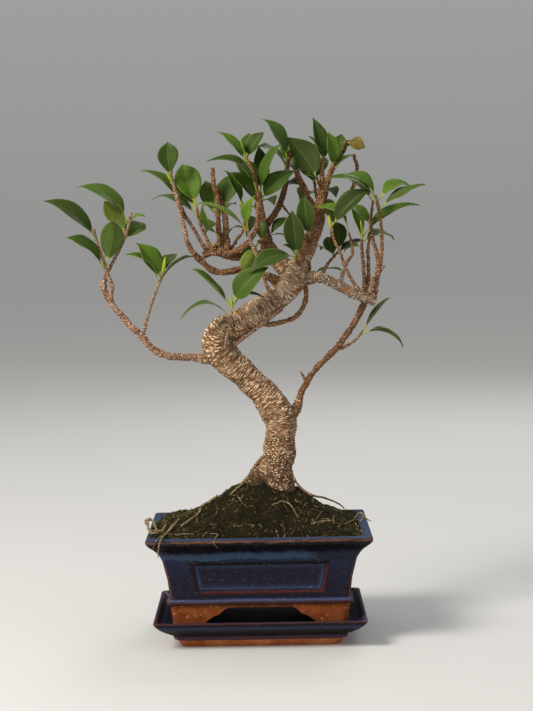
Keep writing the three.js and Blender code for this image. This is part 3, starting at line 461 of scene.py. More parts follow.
def write_panel(number):
    """Write a number at the points of the selected faces."""
    cage = bmesh.from_edit_mesh(bpy.context.object.data)
    layer = cage.verts.layers.float.get("panel") or cage.verts.layers.float.new("panel")
    for face in cage.faces:
        if face.select:
            for point in face.verts:
                point[layer] = number
    bmesh.update_edit_mesh(bpy.context.object.data)


take(pot, "EDIT")
for side in (-1, 1):
    for axis, (bottom, top, wall) in enumerate(PANEL_SIDES):
        pick("FACE", lambda face: on_wall(face, 1 - axis, wall))
        where, facing = Vector((0, 0, PANEL_BOTTOM * MM)), Vector((0, 0, bottom - top))
        where[axis], facing[axis] = side * bottom * MM, side * PANEL_RISE
        bpy.ops.mesh.bisect(plane_co=where, plane_no=facing.normalized())
print(pick("FACE", on_panel), "faces to sink")
for width, depth, number in PANEL_STEPS:
    bpy.ops.mesh.inset(thickness=width * MM, depth=depth * MM)
    write_panel(number)
take(pot)

# %% [markdown]
# ### Feet and drainage holes
# The pot stands on four corner feet with a low arch between each two, and two round holes let the
# water out. The arch cutter starts as a flat cube under the floor and is extruded downwards, row by
# row, each row a little wider. Boolean cuts take the arches and the holes out of the clay.

# %% Cut the arches and the holes
ARCH_TOP, ARCH_STEP, ARCH_TOE, ARCH_BOTTOM = 36.4, 30, 21, 10
ARCH_REACH = 120
ARCHES = ((26, 36.5, 50), (13, 20, 30))  # half widths at crown, step and floor, along x and along y
HOLE_RADIUS, HOLE_PLACES = 8, (-42, 42)


def arch_rows(crown, step, floor_half):
    """Heights and half widths of an arch from its crown down, on two eased curves."""
    rows = [(ARCH_TOP, crown)]
    for (w0, z0), (w1, z1), (w2, z2) in (
        ((crown, ARCH_TOP), (crown + 6, ARCH_TOP), (step, ARCH_STEP)),
        ((step, ARCH_STEP), (floor_half - 5, ARCH_STEP - 2), (floor_half, ARCH_TOE)),
    ):
        for t in (0.12, 0.25, 0.4, 0.55, 0.7, 0.85, 1.0):
            a, b, c = (1 - t) ** 2, 2 * t * (1 - t), t * t
            rows.append((a * z0 + b * z1 + c * z2, a * w0 + b * w1 + c * w2))
    return rows + [(ARCH_BOTTOM, floor_half)]


for axis, halves in enumerate(ARCHES):
    rows = arch_rows(*halves)
    cutter = start(bpy.ops.mesh.primitive_cube_add, size=2)
    size = [ARCH_REACH * MM] * 2 + [0.02 * MM]
    size[axis] = rows[0][1] * MM
    resize(*size)
    move(0, 0, rows[0][0] * MM)
    pick("FACE", lambda f: f.normal.z < -0.9)
    for (z0, w0), (z1, w1) in zip(rows, rows[1:]):
        bpy.ops.mesh.extrude_region_move(TRANSFORM_OT_translate={"value": (0, 0, (z1 - z0) * MM)})
        wider = [1, 1, 1]
        wider[axis] = w1 / w0
        resize(*wider)
    close_up(cutter)
    cut_away(pot, cutter)
for x in HOLE_PLACES:
    drill = start(bpy.ops.mesh.primitive_cylinder_add, vertices=40, radius=HOLE_RADIUS * MM, depth=12 * MM,
                  location=(x * MM, 0, 39 * MM))
    cut_away(pot, drill)
for vessel in (pot, saucer):
    take(vessel)
    bpy.ops.object.shade_smooth_by_angle(angle=math.radians(38))
print("pot after the cuts:", len(pot.data.polygons), "faces")

# %% [markdown]
# ### The glaze
# A dark blue glaze runs in the kiln. It lies thick and bright where the wall is steep, thin and rust
# brown on every edge, and stops short of the foot, where the clay is bare and orange. The bands make
# the hollow under the lip near black and paint a highlight on the top of the bottom moulding. Heights
# decide most of it, so one ramp along Z is the base, pushed up and down by noise drawn out along Z, as
# runs are. The distance to the upright corners needs no stored value: the pot is 50 mm wider than deep
# at every height, so |x| - |y| - 25 mm is nought at a corner.


# %% Mix a glaze
def glaze(name, bands, low, high, corner, push):
    """A running glaze over bare clay. Bands are (height, colour), corner is half of width minus depth,
    push is how far the runs carry a colour up or down where the glaze is free to run."""
    mix = Palette(name, Specular_IOR_Level=0.1)
    place = mix.place()
    x, y, z = mix.axes(place)
    runs = mix.grain(mix.stretch(place, 1, 1, 0.12), 260, 4)
    drift = mix.grain(mix.stretch(place, 1, 1, 0.5), 30, 3)
    free = mix.times(mix.fade(z, high * MM, (high - 10) * MM), mix.fade(z, (low + 28) * MM, (low + 38) * MM))
    pushed = mix.plus(mix.sway(runs, 0.8), mix.sway(drift))
    pushed = mix.plus(z, mix.times(pushed, mix.plus(mix.times(free, push * MM), 0.0014)))
    share = mix.add("MapRange", 0, {0: pushed, 1: low * MM, 2: high * MM})
    colour = mix.ramp(share, [((h - low) / (high - low), code) for h, code in bands])
    near = mix.maths("SUBTRACT", mix.maths("ABSOLUTE", x), mix.maths("ABSOLUTE", y), corner * MM)
    ragged = mix.plus(mix.maths("ABSOLUTE", near), mix.sway(runs, 0.002))
    return mix, place, (x, z), runs, mix.over(colour, mix.fade(ragged, 0.0019, 0.0006), "5a2c1c", 0.85)


def fire(mix, place, z, colour, clay_top, clays):
    """Mottle a glaze, add pale specks, leave the clay bare below clay_top, and finish the material."""
    mottle, grit = mix.grain(place, 520, 5, 0.7), mix.grain(place, 900, 4, 0.7)
    colour = mix.over(colour, mix.fade(mottle, 0.46, 0.72), mix.blend(0.3, colour, "4c5478"), 0.4)
    colour = mix.over(colour, mix.fade(mottle, 0.5, 0.3), mix.blend(0.6, colour, "0c090b"), 0.7)
    colour = mix.over(colour, mix.fade(mix.grain(place, 160, 4, 0.65), 0.56, 0.7), "50281c", 0.35)
    some = mix.fade(mix.grain(place, 90, 2), 0.5, 0.62)
    colour = mix.over(colour, mix.fade(mix.cells(place, 330), 0.14, 0.07), "8a88a0", some)
    clay = mix.ramp(mix.grain(place, 70, 4), list(zip((0.3, 0.5, 0.7), clays)))
    clay = mix.blend(mix.fade(grit, 0.60, 0.72), clay, "5e2e16")
    clay = mix.over(clay, mix.fade(mix.grain(place, 210, 3), 0.58, 0.68), "c08a60", 0.5)
    edge = mix.plus(z, mix.sway(mix.grain(place, 240, 3), 0.0016))
    bare = mix.fade(edge, (clay_top + 0.15) * MM, (clay_top - 0.15) * MM)
    slanted = mix.fade(mix.add("LayerWeight", "Facing", {"Blend": 0.5}), 0.45, 0.85)
    wet = mix.plus(mix.remap(mottle, 0.14, 0.34), mix.times(slanted, 0.5))
    height = mix.choose(bare, mix.grain(place, 150, 2), grit)
    return mix.paint(mix.blend(bare, colour, clay), mix.choose(bare, wet, 0.9), height, 0.0004)


print("glaze recipes ready")

# %% Glaze the pot
# The lavender bands at 42.4 and 43.6 mm are a painted highlight on the upward-facing top of the bottom
# moulding. The near-black bands from 90 to 97.4 mm colour the hollow under the lip.
POT_BANDS = [
    (39.3, "120c0e"), (40.2, "38201c"), (41.6, "3c2224"), (42.4, "3c4056"), (43.6, "424868"),
    (44.6, "1e1e30"), (46.2, "100e14"), (48, "1b1928"), (58, "1b1a28"), (72, "1d2032"), (80.4, "202a44"),
    (82, "34485e"), (86, "31455a"), (88.4, "181e2c"), (90, "100e10"), (97.4, "120e0e"), (98.3, "50352a"),
    (99.1, "6a4a38"), (99.9, "543c34"), (100.4, "262a38"), (100.9, "2a3a54"), (101.4, "263e62"),
]
PANEL_BANDS = [
    (0.0, "1b1928"), (0.1, "30181a"), (0.2, "4c2012"), (0.34, "421e16"), (0.44, "1e1a26"), (0.56, "202840"),
    (0.68, "343f54"), (0.8, "242c42"), (1.0, "1b1a28"),
]
mix, place, (x, z), runs, colour = glaze("pot_glaze", POT_BANDS, 17, 102, 25, 5.5)
worn = mix.fade(mix.grain(mix.stretch(place, 1, 1, 4), 60, 4, 0.7), 0.5, 0.64)
worn = mix.times(worn, mix.fade(z, 0.1005, 0.1), mix.fade(z, 0.0975, 0.098))
colour = mix.over(colour, worn, "1a1620", 0.75)
# The band between 78 and 89 mm is darkened towards the right side of the pot.
right_band_darkened = mix.fade(mix.plus(x, mix.sway(mix.grain(place, 26, 3), 0.16)), 0.03, 0.08)
right_band_darkened = mix.times(right_band_darkened, mix.fade(z, 0.089, 0.087), mix.fade(z, 0.078, 0.080))
colour = mix.over(colour, right_band_darkened, "191820", 0.8)
panel = mix.stored("panel")
wobble = mix.plus(panel, mix.sway(runs, 0.4))
border = mix.ramp(mix.add("MapRange", 0, {0: wobble, 1: 0.4, 2: 3.0}), PANEL_BANDS)
# Painted shade: the faces of the panel border that look downwards are darkened towards near black.
down_facing_shade = mix.fade(mix.axes(mix.add("NewGeometry", "Normal"))[2], -0.18, -0.4)
border = mix.blend(down_facing_shade, border, mix.blend(0.7, border, "0c090e"))
shaded = mix.maths("MAXIMUM", mix.fade(z, 0.0745, 0.0765), mix.times(mix.fade(x, -0.052, -0.055), 0.8))
border = mix.over(border, shaded, "141018", mix.fade(panel, 2.0, 1.6))
colour = mix.blend(mix.fade(panel, 0.3, 0.6), colour, border)
pot_glaze = fire(mix, place, z, colour, 38.7, ("6a3418", "824322", "96562e"))
hand_in(pot, "pot", ["pot"], pot_glaze)

# %% Glaze the saucer
# The near-black bands at 16.5 and 17.8 mm colour the saucer's floor under the pot: painted shade over its
# dark glaze. The same bands and the one at 13 mm also make the outer wall below the rim near black.
SAUCER_BANDS = [
    (6, "341c2a"), (7.4, "523a40"), (9.6, "443038"), (10.8, "1c1214"), (13, "0c0a0c"), (16.5, "08070a"),
    (17.8, "0c0b10"), (19, "181824"), (20.4, "28345c"), (21.6, "222642"), (22.8, "1a1214"), (24.2, "1e1210"),
    (25.0, "4c2e22"), (25.8, "362a30"), (26.2, "242c54"),
]
mix, place, (_, z), _, colour = glaze("saucer_glaze", SAUCER_BANDS, 5, 27, 24, 2.5)
saucer_glaze = fire(mix, place, z, colour, 6.4, ("a4562a", "c47040", "d48a58"))
hand_in(saucer, "saucer", ["saucer"], saucer_glaze)

# %% [markdown]
# ## Where the wood runs
# A stem is a line of stations, each written as x, y, z and the stem's radius there. They are the same
# stations as the plain model's, so the finished wood lies where the plain wood lies.

# %% The trunk, its limbs and its branches
TRUNK_PATH = [[17, 0, 120, 19], [17, 0, 131, 18], [17, 0, 139, 16.2], [17, 0, 153, 13.8],
 [19, 0, 168, 15], [21, -1, 182, 13.8], [21, -2, 196, 14], [14, -3, 211, 14],
 [2, -5, 226, 12.3], [-12, -7, 241, 12], [-26, -9, 254, 13.6], [-34, -10, 266, 14.2],
 [-31, -10, 278, 13], [-17, -9, 286, 12], [-1, -7, 295, 11.5], [15, -4, 306, 11.8],
 [29, -2, 318, 12.6], [37, 0, 330, 12.4], [39, 1, 340, 10.4]]
TRUNK_ROOTS = [
  [[9, -4, 168, 2.6], [0.5, -6, 160, 2.2], [-5, -7, 153, 2.1], [-9, -8, 147, 2], [-14, -9, 141.5, 1.9],
   [-21, -10, 135, 1.7], [-28, -11, 129, 1.5]],
  [[12, -3, 158, 7], [5, -5, 151, 7], [-2, -7, 144, 6], [-8, -8, 138, 5]],
  [[27, -4, 164, 2], [30, -5, 153, 1.8], [32, -6, 144.5, 1.7], [37, -6, 137, 1.6], [43, -5, 131, 1.4],
   [49, -3, 127, 1.2]],
]
WOOD = {
  # the limb that rises left of the middle
  "limb_upper_left": [
    [[33, 1, 331, 8], [25, 2, 338, 8], [18, 5, 346, 7.2], [12, 8, 355, 6.2], [10, 10, 365, 5],
     [9, 10, 375, 3.8]],
  ],
  # the thick limb that rises right of the middle, with its spurs
  "limb_upper_right": [
    [[41, 1, 337, 8], [46, 1, 350, 6.8], [51, 2, 360, 6.5], [56, 2, 371, 6.2],
     [59, 3, 386, 5.6], [61, 3, 396, 5.2], [63, 4, 408, 4.6]],
    [[63, 4, 405, 2.6], [62, 4, 418, 2.2]],
    [[64, 4, 405, 3.2], [70, 4, 420, 2.6]],
    [[57, 4, 385, 4], [50, 8, 397, 3.2], [45, 11, 408, 2.9]],
    [[60, 5, 390, 2.4], [74, 15, 390, 2], [84, 20, 397, 1.9], [91, 22, 408, 1.8],
     [95, 24, 424, 1.7], [92, 25, 438, 1.5]],
    [[53, 0, 364, 3], [47, -4, 363, 2.8], [44, -6, 364, 2.3]],
  ],
  # the right limb, sawn off at its end, with the stubs of its upright shoots
  "limb_right": [
    [[41, -2, 325, 7.5], [49, -4, 326, 5.6], [57, -6, 327, 4.6], [66, -8, 324, 4.4],
     [76, -10, 319, 4.7], [87, -12, 313, 4.8], [98, -14, 308, 4.4], [108, -15, 304, 3.8]],
    [[96, -14, 311, 1.8], [87, -16, 323, 1.5]],
    [[76, -9, 321, 2], [79, -8, 330, 1.8], [83, -7, 340, 1.6]],
    [[105, -15, 307, 3.3], [108, -15, 318, 3], [111, -15, 333, 2.6], [112, -15, 340, 2.2]],
    [[111, -15, 331, 1.8], [116, -17, 337, 1.5]],
    [[102, -14, 309, 2.6], [105, -18, 318, 2.4], [106, -19, 328, 2.2]],
    [[52, -5, 325, 2.4], [52, -6, 333, 1.8]],
  ],
  # the thin branch that leaves the lower trunk and climbs behind the right limb
  "branch_right_low": [
    [[31, 0, 200, 5.5], [36, 2, 208, 4.2], [39, 4, 218, 3], [45, 7, 229, 2.7],
     [53, 9, 241, 2.6], [64, 11, 252, 2.6], [74, 12, 262, 2.8], [83, 12, 274, 2.6],
     [92, 10, 287, 2.6], [97, 7, 298, 2.9], [101, 3, 309, 2.8], [100, 1, 318, 2.4]],
    [[99, 1, 314, 1.8], [99, 0, 325, 1.7]],
    [[101, 2, 314, 2.2], [103, 3, 325, 1.9], [103, 3, 340, 1.6], [103, 3, 352, 1.4],
     [105, 2, 363, 1.2]],
    [[77, 12, 260, 1.6], [86, 11, 265, 1.2]],
    [[46, 7, 230, 1.4], [42, 5, 237, 1], [40, 4, 241, 0.8]],
  ],
  # the long thin branch that leaves the knee of the trunk
  "branch_left_long": [
    [[-37, -10, 255, 5], [-47, -12, 255, 4], [-60, -14, 257, 3.2], [-73, -16, 258, 3.1],
     [-84, -17, 260, 3], [-94, -18, 266, 2.9], [-103, -19, 277, 2.8], [-113, -20, 287, 2.7],
     [-122, -20, 298, 2.5], [-130, -20, 309, 2.6], [-135, -20, 318, 2.8],
     [-137, -20, 327, 2.3]],
    [[-130, -20, 310, 1.9], [-128, -21, 321, 1.7]],
    [[-135, -20, 320, 1.9], [-134, -17, 331, 1.6], [-129, -16, 340, 1.5]],
    [[-102, -19, 276, 1.8], [-99, -18, 287, 1.3]],
  ],
  # the level branch on the left, sawn off at its end
  "branch_left_mid": [
    [[16, 6, 349, 4.5], [3, 7, 347, 4.2], [-9, 5, 347, 4.3], [-21, 3, 348, 4.6],
     [-32, 0, 351, 4.6], [-40, -2, 351, 3.5], [-47, -3, 348, 2.8]],
    [[-42, -2, 351, 2.2], [-48, -6, 359, 1.7]],
    [[-38, -2, 351, 2], [-41, -4, 358, 1.6]],
    [[-33, 0, 352, 3], [-32, 0, 364, 2.4]],
    [[-25, 3, 351, 3.6], [-26, 4, 364, 2.9]],
    [[-24, -1, 349, 2.6], [-13, -6, 354, 2.3], [-5, -9, 360, 2.2]],
    [[-23, 4, 352, 1.8], [-17, 6, 360, 1.3]],
    [[-37, -3, 353, 3], [-38, -4, 358, 2.4]],
  ],
  # the arching branch in front of the level one
  "branch_left_arc": [
    [[23, -6, 324, 4], [12, -9, 328, 3.2], [-3, -11, 333, 3], [-13, -12, 335, 3],
     [-27, -12, 333, 3], [-38, -12, 335, 2.9], [-47, -12, 342, 2.6], [-55, -13, 351, 2.3],
     [-61, -13, 362, 2]],
  ],
  # the root that loops under the upper trunk
  "aerial_root": [
    [[45, -3, 322, 2.6], [46, -4, 310, 2], [43, -5, 300, 2], [37, -6, 292, 1.9],
     [30, -7, 289, 1.9], [20, -7, 286, 2], [11, -8, 285, 2.2], [2, -8, 288, 2.4]],
  ],
}
print(len(WOOD), "limbs, branches and aerial roots,", sum(len(paths) for paths in WOOD.values()), "stems")

# %% [markdown]
# A leaf is written as where its stalk starts, where its tip is, its width, the way its upper face
# looks, and how far it arches. The last leaves of a shoot that are 5 mm wide or less are its buds.

# %% The leafy shoots
SHOOTS = {
  "far_left_low": {
    "stems": [
      [[-128, -21, 322, 1.7], [-131, -22, 331, 1.6], [-134, -23, 342, 1.5],
       [-138, -24, 354, 1.4], [-141, -24, 364, 1.3], [-143, -24, 374, 1.1]],
    ],
    "leaves": [
      [[-140, -24, 363], [-185, -34, 400], 22, [0.15, -0.6, 0.8], 0.12],
      [[-135, -23, 338], [-166, -40, 367], 19, [0.25, -0.5, 0.8], 0.12],
      [[-133, -23, 340], [-124, -42, 381], 23, [0.1, 0.8, 0.6], 0.1],
    ],
  },
  "far_left_high": {
    "stems": [
      [[-129, -16, 341, 1.5], [-121, -15, 356, 1.5], [-115, -14, 369, 1.4],
       [-112, -13, 379, 1.3], [-110, -13, 389, 1.1]],
    ],
    "leaves": [
      [[-115, -14, 367], [-133, -28, 399], 17, [-0.2, 0.7, 0.7], 0.1],
      [[-113, -13, 376], [-159, -8, 412], 22, [0.1, -0.5, 0.8], 0.22],
      [[-111, -13, 380], [-98, -18, 385], 7, [-0.3, -0.5, 0.8], 0.15],
      [[-117, -14, 363], [-101, 6, 379], 20, [-0.1, -0.9, 0.4], 0.1],
    ],
  },
  "left_lower": {
    "stems": [
      [[-99, -18, 288, 1.3], [-96, -17, 298, 1.2], [-90, -17, 315, 1.2], [-85, -17, 326, 1.1],
       [-84, -17, 331, 0.9]],
    ],
    "leaves": [
      [[-87, -17, 321], [-116, -30, 351], 16, [0.3, -0.2, 0.9], 0.2],
      [[-84, -17, 327], [-105, -22, 361], 20, [0.4, -0.8, 0.5], 0.08],
      [[-84, -17, 330], [-80, -17, 348], 5, [0, -1, 0.2], 0],
      [[-84, -16, 330], [-71, 8, 350], 16, [-0.3, -0.6, 0.7], 0.1],
      [[-86, -16, 323], [-56, 0, 348], 14, [-0.4, 0.1, 0.9], 0.12],
    ],
  },
  "left_tall": {
    "stems": [
      [[-61, -13, 363, 2], [-64, -13, 378, 1.9], [-67, -14, 393, 1.8], [-70, -14, 406, 1.7],
       [-73, -14, 416, 1.6], [-74, -14, 429, 1.4]],
    ],
    "leaves": [
      [[-74, -14, 418], [-76, -16, 450], 20, [0, -1, 0.2], 0.05],
      [[-72, -14, 413], [-78, -19, 424], 4, [0, -1, 0.2], 0],
    ],
  },
  "left_inner": {
    "stems": [
      [[-48, -6, 360, 1.6], [-54, -8, 371, 1.5], [-60, -9, 381, 1.4], [-65, -8, 391, 1.3],
       [-69, -7, 399, 1.1]],
    ],
    "leaves": [
      [[-68, -7, 398], [-100, -12, 426], 18, [0.4, -0.5, 0.8], 0.1],
    ],
  },
  "left_crown": {
    "stems": [
      [[-41, -4, 358, 1.5], [-45, -5, 367, 1.4], [-49, -7, 378, 1.3], [-51, -8, 388, 1.2],
       [-52, -8, 394, 1]],
    ],
    "leaves": [
      [[-52, -8, 392], [-64, 2, 431], 25, [0.2, -0.9, 0.4], 0.05],
      [[-50, -6, 381], [-94, 22, 400], 14, [0.2, -0.5, 0.8], 0.2],
      [[-52, -7, 389], [-72, 14, 419], 20, [0.3, -0.8, 0.6], 0.1],
    ],
  },
  "mid_stub_left": {
    "stems": [
      [[-32, 0, 365, 2.3], [-33, 1, 384, 2.2], [-33, 1, 398, 2.2], [-36, 1, 412, 2.1],
       [-37, 1, 427, 1.9]],
    ],
    "leaves": [
      [[-32, -1, 365], [-46, -16, 395], 13, [-0.6, -0.5, 0.6], 0.08],
      [[-34, 2, 384], [-44, 14, 416], 17, [0, -1, 0.2], 0.1],
    ],
  },
  "mid_stub_right": {
    "stems": [
      [[-26, 4, 365, 2.8], [-26, 4, 378, 2.7], [-28, 5, 391, 2], [-31, 6, 402, 1.7],
       [-32, 6, 408, 1.5]],
    ],
    "leaves": [
      [[-27, 5, 389], [-19, 24, 422], 22, [-0.2, -0.9, 0.3], 0.1],
    ],
  },
  "mid_thin": {
    "stems": [
      [[-17, 6, 361, 1.3], [-11, 7, 369, 1.2], [-9, 7, 378, 1.1], [-10, 7, 387, 1.1],
       [-12, 7, 399, 0.9]],
    ],
    "leaves": [
      [[-11, 7, 391], [-27, 4, 426], 13, [0.6, -0.5, 0.5], 0.1],
    ],
  },
  "centre_left": {
    "stems": [
      [[-4, -9, 361, 2.2], [2, -10, 372, 2.2], [4, -10, 387, 2.1], [4, -9, 399, 2],
       [2, -8, 411, 1.8], [0, -7, 422, 1.6], [-4, -6, 431, 1.2], [-6, -6, 436, 0.9]],
    ],
    "leaves": [
      [[3, -9, 403], [-40, -32, 433], 17, [0.3, -0.3, 0.9], 0.22],
      [[3, -8, 405], [-18, 6, 435], 20, [0.4, -0.8, 0.5], 0.08],
      [[4, -9, 392], [-20, -10, 423], 17, [0.5, -0.6, 0.6], 0.08],
      [[-6, -6, 431], [-33, -2, 460], 16, [0.5, -0.6, 0.6], 0.1],
      [[-6, -6, 434], [-12, -14, 451], 8, [0.9, -0.2, 0.2], 0],
      [[-6, -5, 435], [-3, 8, 458], 14, [0, -1, 0.3], 0.05],
      [[-6, -6, 434], [10, -8, 458], 16, [-0.4, -0.8, 0.5], 0.08],
    ],
  },
  "centre": {
    "stems": [
      [[9, 9, 377, 2.6], [7, 5, 387, 2.3], [6, 1, 397, 1.9], [6, -2, 405, 1.2]],
    ],
    "leaves": [
      [[6, -2, 403], [23, -22, 446], 17, [-0.8, -0.6, 0.3], 0.05],
      [[6, 0, 397], [37, -12, 423], 19, [-0.2, -0.8, 0.5], 0.12],
      [[6, 0, 402], [5, 14, 448], 16, [0.3, -0.9, 0.2], 0.05],
    ],
  },
  "centre_right": {
    "stems": [
      [[12, 12, 376, 3.2], [19, 13, 385, 2.9], [25, 13, 397, 2.6], [29, 13, 412, 2.5],
       [31, 13, 428, 2], [33, 13, 442, 1.6]],
      [[25, 13, 394, 1.2], [29, 13, 388, 1], [34, 14, 382, 0.9]],
    ],
    "leaves": [
      [[30, 12, 424], [5, -8, 446], 24, [0.3, -0.5, 0.8], 0.15],
      [[31, 12, 433], [8, 8, 472], 22, [0.6, -0.6, 0.5], 0.1],
      [[32, 14, 429], [31, 26, 451], 16, [0, -1, 0.2], 0.05],
      [[32, 13, 433], [56, 26, 442], 16, [0, -0.3, 1], 0.08],
      [[33, 14, 383], [15, 12, 367], 11, [0.4, -0.2, 0.9], 0.05],
    ],
  },
  "front_centre": {
    "stems": [
      [[18, -15, 305, 1.9], [12, -17, 316, 1.6], [8, -19, 327, 1.5], [4, -21, 342, 1.4],
       [-1, -22, 354, 1.3], [-4, -23, 363, 1.2], [-6, -24, 372, 0.9]],
    ],
    "leaves": [
      [[-6, -24, 371], [-50, -36, 396], 14, [0.5, -0.3, 0.8], 0.08],
      [[-6, -24, 372], [1, -34, 401], 14, [-0.7, -0.7, 0.3], 0.1],
      [[-6, -23, 370], [-24, -12, 367], 9, [0.1, -0.3, 0.9], 0.25],
    ],
  },
  "centre_low": {
    "stems": [
      [[10, 5, 358, 1.8], [7, 0, 359, 1.5], [3, -4, 360, 1.2]],
    ],
    "leaves": [
      [[4, -4, 360], [-11, -25, 333], 15, [0.1, 0.9, 0.3], 0.1],
      [[4, -2, 359], [-13, 3, 340], 14, [0, -1, 0.2], 0.1],
      [[7, 0, 359], [4, 4, 380], 12, [0, -1, 0.2], 0.1],
    ],
  },
  "front_left": {
    "stems": [
      [[-28, -24, 265, 1.3], [-27, -26, 272, 1.2], [-25, -26, 280, 1.2], [-22, -26, 289, 1.2],
       [-21, -26, 298, 1.1], [-21, -26, 304, 0.9]],
    ],
    "leaves": [
      [[-23, -26, 293], [-66, -40, 295], 15, [0, -0.2, 1], 0.28],
      [[-22, -26, 303], [-56, -30, 338], 16, [0.6, -0.3, 0.7], 0.03],
      [[-21, -26, 304], [12, -36, 338], 24, [-0.3, -0.9, 0.4], 0.12],
      [[-21, -26, 297], [8, -34, 311], 10, [-0.1, -0.2, 0.9], 0.3],
      [[-21, -26, 300], [-22, -29, 312], 4, [0, -1, 0.2], 0],
    ],
  },
  "upper_right_spur": {
    "stems": [
      [[61, 0, 408, 1.7], [58, -4, 413, 1.3], [57, -5, 418, 1]],
    ],
    "leaves": [
      [[58, -3, 413], [30, 4, 454], 27, [0.3, 0.8, 0.4], 0.1],
      [[58, -4, 413], [47, -14, 419], 9, [0.2, -0.5, 0.8], 0.1],
    ],
  },
  "upper_fork": {
    "stems": [
      [[45, 11, 409, 2.8], [41, 13, 417, 2.6], [39, 14, 424, 2.2]],
    ],
    "leaves": [
      [[44, 12, 410], [28, 30, 410], 14, [0, -0.5, 0.8], 0.1],
      [[40, 14, 419], [32, 44, 436], 20, [0.2, -0.7, 0.6], 0.1],
    ],
  },
  "crown_left": {
    "stems": [
      [[62, 4, 419, 2.1], [63, 4, 428, 1.8], [64, 4, 436, 1.2]],
    ],
    "leaves": [
      [[64, 4, 434], [50, -6, 454], 11, [0.7, -0.4, 0.6], 0.05],
      [[64, 4, 433], [55, 12, 448], 8, [0.8, -0.1, 0.5], 0.05],
      [[64, 4, 427], [55, 10, 471], 17, [0.6, -0.8, 0.2], 0.06],
    ],
  },
  "crown_right": {
    "stems": [
      [[70, 4, 421, 2.4], [75, 4, 431, 2.2], [80, 5, 440, 1.8], [85, 6, 450, 1.3]],
    ],
    "leaves": [
      [[72, 3, 425], [68, -8, 457], 15, [0.4, -0.9, 0.3], 0.06],
      [[73, 6, 427], [81, 16, 456], 17, [-0.1, -0.9, 0.3], 0.05],
      [[82, 5, 442], [92, 12, 450], 10, [-0.3, -0.6, 0.7], 0.05],
      [[85, 6, 448], [101, 0, 443], 13, [0.2, -0.9, 0.3], 0.1],
      [[74, 3, 425], [89, -6, 436], 11, [-0.3, -0.3, 0.9], 0.08],
    ],
  },
  "trunk_top": {
    "stems": [
      [[40, -8, 338, 2], [38, -12, 343, 1.6], [37, -13, 347, 1.2]],
    ],
    "leaves": [
      [[38, -12, 345], [34, -18, 387], 20, [-0.1, -1, 0.1], 0.06],
      [[37, -13, 345], [-4, -38, 334], 19, [0.1, -0.7, 0.7], 0.18],
      [[37, -13, 346], [25, -24, 357], 8, [0.5, -0.3, 0.8], 0.1],
      [[38, -11, 346], [16, 2, 366], 10, [0.4, -0.3, 0.8], 0.25],
    ],
  },
  "upper_right_low": {
    "stems": [
      [[52, -4, 360, 1.6], [50, -8, 363, 1.2]],
    ],
    "leaves": [
      [[50, -7, 362], [45, -10, 401], 17, [-0.3, -0.9, 0.2], 0.08],
    ],
  },
  "right_inner": {
    "stems": [
      [[87, -16, 324, 1.4], [81, -17, 336, 1.4], [76, -18, 350, 1.3], [71, -18, 362, 1.2],
       [69, -18, 373, 1]],
    ],
    "leaves": [
      [[69, -18, 372], [103, -26, 405], 21, [-0.4, -0.8, 0.5], 0.1],
      [[69, -18, 371], [67, -18, 383], 4, [0, -1, 0.2], 0],
    ],
  },
  "right_second": {
    "stems": [
      [[83, -7, 340, 1.5], [88, -7, 347, 1.3], [88, -6, 355, 1.2], [85, -6, 367, 1]],
    ],
    "leaves": [
      [[85, -6, 366], [53, -6, 389], 17, [0.3, -0.3, 0.9], 0.28],
    ],
  },
  "right_third": {
    "stems": [
      [[99, 0, 326, 1.7], [98, -1, 340, 1.5], [97, -2, 353, 1.4], [97, -3, 361, 1]],
    ],
    "leaves": [
      [[97, -3, 359], [87, 4, 392], 14, [0.8, -0.6, 0.2], 0.05],
      [[97, -3, 360], [96, -3, 378], 4, [0, -1, 0.2], 0],
      [[97, -2, 361], [150, 8, 391], 15, [-0.2, -0.5, 0.8], 0.15],
      [[97, -2, 354], [81, 14, 349], 12, [0, -0.3, 0.9], 0.1],
      [[97, 0, 357], [129, 30, 360], 14, [0, -0.4, 0.9], 0.15],
    ],
  },
  "right_fourth": {
    "stems": [
      [[111, -12, 341, 1.8], [109, -12, 351, 1.6], [106, -13, 362, 1.5], [105, -12, 376, 1.4],
       [106, -12, 388, 1.2], [107, -12, 395, 0.9]],
    ],
    "leaves": [
      [[105, -12, 372], [83, -4, 393], 17, [0.4, -0.6, 0.7], 0.12],
      [[107, -12, 393], [81, 14, 421], 13, [0.2, -0.6, 0.8], 0.1],
    ],
  },
  "right_outer": {
    "stems": [
      [[113, -17, 341, 1.7], [114, -17, 351, 1.6], [114, -17, 364, 1.5], [113, -17, 379, 1.4],
       [111, -16, 390, 1.3], [109, -16, 400, 1]],
    ],
    "leaves": [
      [[111, -16, 394], [143, 0, 407], 18, [-0.1, -0.5, 0.9], 0.22],
      [[112, -16, 389], [152, -26, 409], 14, [-0.3, -0.5, 0.8], 0.02],
      [[110, -16, 394], [66, -30, 416], 15, [0.2, -0.4, 0.9], 0.18],
      [[110, -16, 396], [80, -8, 418], 16, [0.2, -0.4, 0.9], 0.2],
    ],
  },
  "right_rear": {
    "stems": [
      [[61, 1, 330, 1.6], [65, 3, 337, 1.3], [70, 8, 343, 1.2], [76, 14, 349, 1]],
    ],
    "leaves": [
      [[73, 14, 345], [66, 22, 363], 14, [0, -1, 0.2], 0.1],
      [[76, 15, 348], [76, 28, 377], 16, [0, -0.9, 0.4], 0.1],
      [[75, 14, 347], [101, 24, 359], 12, [0, -0.3, 0.9], 0.1],
      [[73, 14, 344], [61, 42, 352], 16, [0, -0.3, 0.9], 0.15],
    ],
  },
  "right_under": {
    "stems": [
      [[53, 0, 327, 1.5], [52, 6, 329, 1.1]],
    ],
    "leaves": [
      [[52, 6, 329], [81, 22, 331], 13, [0, 0.1, 1], 0.12],
